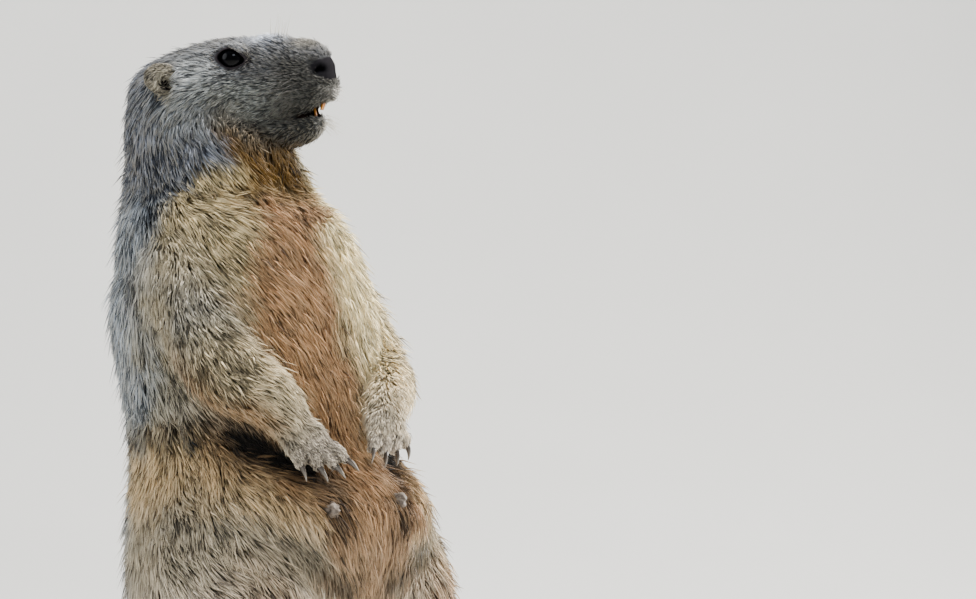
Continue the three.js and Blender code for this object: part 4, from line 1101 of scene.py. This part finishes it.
class Look:
    """A material while its nodes are made."""

    def __init__(self, name):
        self.made = bpy.data.materials.new(name)
        self.made.use_nodes = True
        self.made.node_tree.nodes.clear()
        self.shader, self.output = self.node("BsdfPrincipled"), self.node("OutputMaterial")
        self.join(self.shader.outputs["BSDF"], self.output.inputs["Surface"])

    def node(self, kind, **settings):
        node = self.made.node_tree.nodes.new("ShaderNode" + kind)
        for key, value in settings.items():
            setattr(node, key, value)
        return node

    def join(self, value, socket):
        """Links a socket to an input, or sets a plain value on it."""
        if isinstance(value, bpy.types.NodeSocket):
            self.made.node_tree.links.new(value, socket)
        else:
            socket.default_value = value

    def attribute(self, name, output="Fac"):
        return self.node("Attribute", attribute_name=name).outputs[output]

    def mix(self, factor, first, second, blend="MIX"):
        node = self.node("Mix", data_type="RGBA", blend_type=blend)
        for value, place in ((factor, 0), (first, 6), (second, 7)):
            self.join(value, node.inputs[place])
        return node.outputs[2]

    def ramp(self, source, *stops):
        """A colour ramp; each stop is a place and a grey or a linear colour."""
        node = self.node("ValToRGB")
        elements = node.color_ramp.elements
        while len(elements) < len(stops):
            elements.new(0.5)
        for element, (place, value) in zip(elements, stops):
            element.position = place
            element.color = (*(np.ones(3) * value), 1)
        self.join(source, node.inputs[0])
        return node.outputs[0]

    def noise(self, scale, detail=3.0):
        node = self.node("TexNoise")
        self.join(self.node("TexCoord").outputs["Object"], node.inputs["Vector"])
        for key, value in (("Scale", scale), ("Detail", detail), ("Roughness", 0.6)):
            self.join(value, node.inputs[key])
        return node.outputs["Fac"]

    def finish(self, colour, roughness, specular=0.5, bump=None):
        """Sets up the shader; a bump is a height, a strength and a distance."""
        values = {"Base Color": colour, "Roughness": roughness, "Specular IOR Level": specular}
        if bump:
            node = self.node("Bump")
            for key, value in zip(("Height", "Strength", "Distance"), bump):
                self.join(value, node.inputs[key])
            values["Normal"] = node.outputs["Normal"]
        for key, value in values.items():
            self.join(value, self.shader.inputs[key])


def coat_look(look):
    along = look.attribute("coat_along")
    shade = look.ramp(along, (0.0, 0.24), (0.3, 0.7), (0.7, 1.0))
    base = look.mix(1.0, look.attribute("coat_colour", "Color"), shade, "MULTIPLY")
    amount = look.node("Math", operation="MULTIPLY")
    look.join(look.ramp(along, (0.35, 0.0), (0.95, 1.0)), amount.inputs[0])
    look.join(look.attribute("coat_tip"), amount.inputs[1])
    pale = look.mix(0.5, base, (*linear((232, 220, 190)), 1))
    tipped = look.mix(amount.outputs[0], base, pale)
    grain = look.ramp(look.noise(260), (0.3, 0.84), (0.7, 1.1))
    look.finish(look.mix(1.0, tipped, grain, "MULTIPLY"), 0.62, 0.25)


def skin_look(look):
    colour, bare = look.attribute("coat_colour", "Color"), look.attribute("bare")
    grain = look.ramp(look.noise(420, 4.0), (0.3, 0.45), (0.7, 0.8))
    furred = look.mix(1.0, colour, grain, "MULTIPLY")
    roughness = look.ramp(bare, (0.2, 0.85), (0.9, 0.6))
    look.finish(look.mix(bare, furred, colour), roughness, 0.0, (look.noise(1400, 2.0), 0.35, 0.0004))


def eye_look(look):
    iris = look.ramp(look.noise(900), (0.3, linear((3, 3, 5))), (0.7, linear((7, 6, 8))))
    ring = look.ramp(look.attribute("iris"), (0.0, 0.0), (0.42, 0.0), (0.5, 1.0), (0.86, 1.0), (0.94, 0.0))
    look.finish(look.mix(ring, (0.0005, 0.0005, 0.0007, 1), iris), 0.04, 0.08)


def streaked(look, tones, scale, stops, roughness, specular, bump):
    """Tones that follow one another along the piece, with fine streaks over them."""
    tone = look.ramp(look.attribute("along"), *((place, linear(tone)) for place, tone in tones))
    streak = look.ramp(look.noise(scale), *stops)
    bump_scale, *rest = bump
    look.finish(look.mix(1.0, tone, streak, "MULTIPLY"), roughness, specular, (look.noise(bump_scale), *rest))


def horn_look(look):
    tones = ((0.0, (40, 34, 30)), (0.45, (78, 70, 62)), (1.0, (134, 124, 110)))
    streaked(look, tones, 700, ((0.3, 0.7), (0.7, 1.1)), 0.24, 0.5, (1500, 0.2, 0.0002))


def tooth_look(look):
    tones = ((0.0, (80, 42, 8)), (0.6, (122, 68, 12)), (1.0, (134, 88, 20)))
    streaked(look, tones, 500, ((0.35, 0.78), (0.7, 1.08)), 0.4, 0.08, (900, 0.1, 0.0002))


def mottled(look, source, dark, pale):
    """Two tones in patches."""
    return look.ramp(source, (0.3, linear(dark)), (0.7, linear(pale)))


def teat_look(look):
    tone = mottled(look, look.noise(500, 4.0), (52, 44, 38), (120, 108, 96))
    look.finish(tone, 0.6, 0.2, (look.noise(700), 0.6, 0.0006))


def whisker_look(look):
    look.finish(mottled(look, look.noise(60), (20, 18, 18), (52, 46, 42)), 0.4)


def pale_whisker_look(look):
    look.finish(mottled(look, look.noise(60), (186, 180, 168), (228, 224, 214)), 0.4)


def floor_look(look):
    tone = look.ramp(look.noise(3), (0.3, (0.66, 0.66, 0.64)), (0.7, (0.7, 0.7, 0.68)))
    look.finish(tone, 0.9)
    # The backdrop is clear from its rear, so that the animal is also seen from there
    mix = look.node("MixShader")
    look.join(look.node("NewGeometry").outputs["Backfacing"], mix.inputs[0])
    look.join(look.shader.outputs["BSDF"], mix.inputs[1])
    look.join(look.node("BsdfTransparent").outputs["BSDF"], mix.inputs[2])
    look.join(mix.outputs[0], look.output.inputs["Surface"])


def material(name, build):
    look = Look(name)
    build(look)
    return look.made


BUILDS = {
    "coat": coat_look, "skin": skin_look, "eye": eye_look, "horn": horn_look, "tooth": tooth_look,
    "teat": teat_look, "whisker": whisker_look, "pale_whisker": pale_whisker_look,
}
MATERIALS = {name: material(name, build) for name, build in BUILDS.items()}


def dressed(obj, finish, nodes=()):
    """Gives a piece its material, its body and the CAD nodes that it stands for."""
    obj.data.materials.clear()
    obj.data.materials.append(MATERIALS[finish])
    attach(obj, "root")
    if nodes:
        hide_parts(*nodes)


FLESH = ["torso", "neck", "head", "nose_pad", "lower_jaw", "tail_root", "tail"]
for name in SIDES:
    FLESH += [f"{part}_{name}" for part in ("ear", "upper_arm", "forearm", "hand", "thigh", "shank", "foot")]
dressed(skin, "skin", FLESH)
for obj, slot in coat:
    dressed(obj, "coat")

# Eyes, claws, teeth, teats, whiskers

for name, side in SIDES.items():
    axes = (head_forward, UP, head_left * side)
    points, faces = ball(eye_centre(side), (EYE_RADIUS,) * 3, axes, rings=40, sides=48)
    eye = mesh_object(f"eyeball_{name}", points, faces)
    facing = unit(points - eye_centre(side)) @ unit(head_left * side + head_forward * 0.18)
    attribute(eye.data, "iris", np.degrees(np.arccos(np.clip(facing, -1, 1))) / 60)
    dressed(eye, "eye", [f"eye_{name}"])


def claw(root, ahead, down, length, full_bend, steps=12, sides=14):
    """A claw bent along an arc: points, faces and the share of its length at each point."""
    across = unit(np.cross(ahead, down))
    share = np.linspace(0, 1, steps) ** 0.9
    bend = full_bend * share
    onward, downward = (length * x / full_bend for x in (np.sin(bend), 1 - np.cos(bend)))
    centres = root + np.outer(onward, ahead) + np.outer(downward, down)
    tangent = np.outer(np.cos(bend), ahead) + np.outer(np.sin(bend), down)
    fore = unit(np.cross(tangent, across))
    size = CLAW_RADIUS * (1 - 0.93 * share**1.3)
    points, faces = loft(centres, fore, across, size * 1.1, size * 0.8, sides, down=size * 1.25)
    return points, faces, np.concatenate([np.repeat(share, sides), [0, 1]])


def banded_piece(name, forms, finish, nodes):
    """One piece of forms that change along their length: each is points, faces and shares of the length."""
    obj = mesh_object(name, *joined([form[:2] for form in forms]))
    attribute(obj.data, "along", np.concatenate([form[2] for form in forms]))
    dressed(obj, finish, nodes)


for name, side in SIDES.items():
    paw = PAWS[name]
    claw_way, claw_bend = HAND_CLAWS[name]
    made = []
    for i, (_, _, end) in enumerate(paw.fingers):
        ahead = unit(np.array(claw_way) + paw.spread * CLAW_FAN * (i - 1.5))
        down = unit(-0.35 * paw.back - UP)
        down = unit(down - ahead * (down @ ahead))
        made.append(claw(end - ahead + paw.back * 1.8, ahead, down, CLAW_LENGTH, claw_bend))
    banded_piece(f"claws_hand_{name}", made, "horn", [f"claw_hand_{name}_{i + 1}" for i in range(4)])
    made = []
    for _, knuckle, end in TOES[name]:
        ahead = unit((end - knuckle) * [1, 1, 0])
        start = end - ahead
        start[2] = 5.6
        made.append(claw(start, ahead, -UP, TOE_CLAW_LENGTH, CLAW_BEND))
        points = made[-1][0]
        points[:, 2] = np.maximum(points[:, 2], 0.2)
    banded_piece(f"claws_foot_{name}", made, "horn", [f"claw_foot_{name}_{i + 1}" for i in range(5)])


def incisors(name, table, nodes):
    """A pair of bent, rounded blades."""
    forms = []
    share = np.linspace(0, 1, 16)
    level = table["root"] + (table["tip"] - table["root"]) * share
    thick = 0.95 * (1 - 0.55 * share) + 0.1
    wide = table["half"] * 0.485 * (1 - 0.12 * share) * np.where(share > 0.97, 0.86, 1)
    for side in (1, -1):
        out = side * table["half"] * 0.5 * (1 - 0.12 * share)
        centres = on_head(table["along"] - 1.6 * share**2, out, level)
        points, faces = loft(centres, head_forward, head_left, thick, wide, 20, 3.2)
        forms.append((points, faces, np.concatenate([np.repeat(share, 20), [0, 1]])))
    banded_piece(name, forms, "tooth", nodes)


incisors("teeth_upper", UPPER_TEETH, ["upper_incisors"])
incisors("teeth_lower", LOWER_TEETH, ["lower_incisors"])

for name, (right, level) in TEATS.items():
    angle = math.asin(right / TRUNK_RADIUS)
    x, y, deep, wide = (np.interp(level, TRUNK_FINE[:, 0], TRUNK_FINE[:, i]) for i in (1, 2, 3, 4))
    centre = np.array([x + deep * math.cos(angle), y + wide * math.sin(angle), level])
    out = np.array([math.cos(angle), math.sin(angle), 0])
    axes = (UP, np.cross(UP, out), out)
    points, faces = ball(centre - out * 2.0, (4.6, 3.9, 5.4), axes, rings=26, sides=32)
    lumps = 2.4 * (noise(points, 2.1, 31) - 0.5)
    points = points + unit(points - centre) * lumps[:, None]
    dressed(mesh_object(f"teat_{name}_bare", points, faces), "teat", [f"teat_{name}"])


def whisker(root, way, length, sag, radius):
    """A thin tapered hair that bends down to its tip."""
    share = np.linspace(0, 1, 9)
    centres = root + np.outer(share * length, way) - np.outer(share**2 * sag, UP)
    tangent = unit(np.gradient(centres, axis=0))
    across = unit(np.cross(tangent, UP))
    size = radius * (1 - 0.85 * share)
    return loft(centres, unit(np.cross(across, tangent)), across, size, size, 5)


draw = np.random.default_rng(SEED + 1).uniform
dark_hairs, pale_hairs = [], []
for side in SIDES.values():
    left = head_left * side
    for row in range(3):
        for i in range(4):
            along = 30 + 3.6 * i + draw(-1, 1)
            start = on_head(along, side * (17 - 1.1 * i), -8 - 4.2 * row + draw(-0.8, 0.8))
            way = unit(left * 0.8 - head_forward * draw(0.45, 0.9) - UP * draw(-0.1, 0.45))
            dark_hairs.append(whisker(start, way, draw(16, 30), draw(2, 6), 0.15))
    for i in range(4):
        start = on_head(19 + 1.9 * i, side * (8 - i), 13.6)
        way = unit(UP + head_forward * draw(-0.2, 0.35) + left * draw(0.0, 0.3))
        pale_hairs.append(whisker(start, way, draw(9, 15), 0.5, 0.3))
    for _ in range(9):
        start = on_head(draw(50, 55), side * draw(2, 8), draw(-24, -14))
        way = unit(head_forward - UP * draw(0.0, 0.7) + left * 0.25)
        pale_hairs.append(whisker(start, way, draw(3.5, 7), 0.6, 0.14))
    for _ in range(14):
        start = on_head(draw(47.5, 49.5), side * draw(0.5, 5), draw(-39, -31))
        way = unit(head_forward - UP * draw(0.2, 0.9) + left * 0.3)
        pale_hairs.append(whisker(start, way, draw(6, 11), 1, 0.18))
dressed(mesh_object("whiskers_dark", *joined(dark_hairs)), "whisker")
dressed(mesh_object("whiskers_pale", *joined(pale_hairs)), "pale_whisker")

# Camera, lights and floor

CAMERA_TURN = math.radians(48)  # the belly is turned this far from the picture's plane
FRAME_WIDTH = 546.6  # millimetres across the picture at the animal
DISTANCE = 6000
SENSOR = 36
picture_right = np.array([math.cos(CAMERA_TURN), math.sin(CAMERA_TURN), 0])
picture_in = np.array([-math.sin(CAMERA_TURN), math.cos(CAMERA_TURN), 0])
target = picture_right * 126.9 + UP * 257.9


def placed(data_block, name, location, aim):
    obj = bpy.data.objects.new(name, data_block)
    obj.location = Vector((location + OFFSET) * METRES)
    obj.rotation_euler = Vector(aim - location).to_track_quat("-Z", "Y").to_euler()
    return linked(obj)


camera_data = bpy.data.cameras.new("camera")
camera_data.sensor_width = SENSOR
camera_data.lens = SENSOR * DISTANCE / FRAME_WIDTH
bpy.context.scene.camera = placed(camera_data, "camera", target - picture_in * DISTANCE, target)

# Each light: right, nearer and up from the animal, its sizes across and up, watts, colour
LIGHTS = {
    "key": (300, -150, 1900, 1000, 1000, 92, (1.0, 0.97, 0.92)),
    "rim": (1300, -600, 600, 800, 800, 84, (1.0, 0.96, 0.9)),
    "fill": (-1500, 300, 900, 1400, 1400, 20, (0.92, 0.95, 1.0)),
    "sky": (774, 1825, 1917, 1000, 420, 30, (0.8, 0.88, 1.0)),
}
for name, (right, nearer, rise, wide, tall, watts, colour) in LIGHTS.items():
    lamp = bpy.data.lights.new(name, "AREA")
    lamp.shape, lamp.size, lamp.size_y = "ELLIPSE", wide * METRES, tall * METRES
    lamp.energy, lamp.color = watts, colour
    placed(lamp, name, picture_right * right - picture_in * nearer + UP * rise, UP * 250)

world = bpy.data.worlds.new("studio")
world.use_nodes = True
world.node_tree.nodes["Background"].inputs[0].default_value = (0.86, 0.9, 0.95, 1)
world.node_tree.nodes["Background"].inputs[1].default_value = 0.36
bpy.context.scene.world = world

# A floor that bends up into a backdrop, as depth and height in metres
BEND = 0.9
turns = np.linspace(0.1, math.pi / 2, 14)
profile = [(-3.0, 0.0), (1.2, 0.0)]
profile += [(1.2 + BEND * math.sin(t), BEND - BEND * math.cos(t)) for t in turns]
profile.append((2.1, 4.0))
floor_points, floor_faces = [], []
for i, (depth, height) in enumerate(profile):
    for across in (-4, 4):
        floor_points.append((picture_in * depth + picture_right * across + UP * height) / METRES)
    if i:
        floor_faces.append((2 * i - 2, 2 * i - 1, 2 * i + 1, 2 * i))
floor = mesh_object("floor", floor_points, floor_faces)
floor.data.materials.append(material("floor", floor_look))
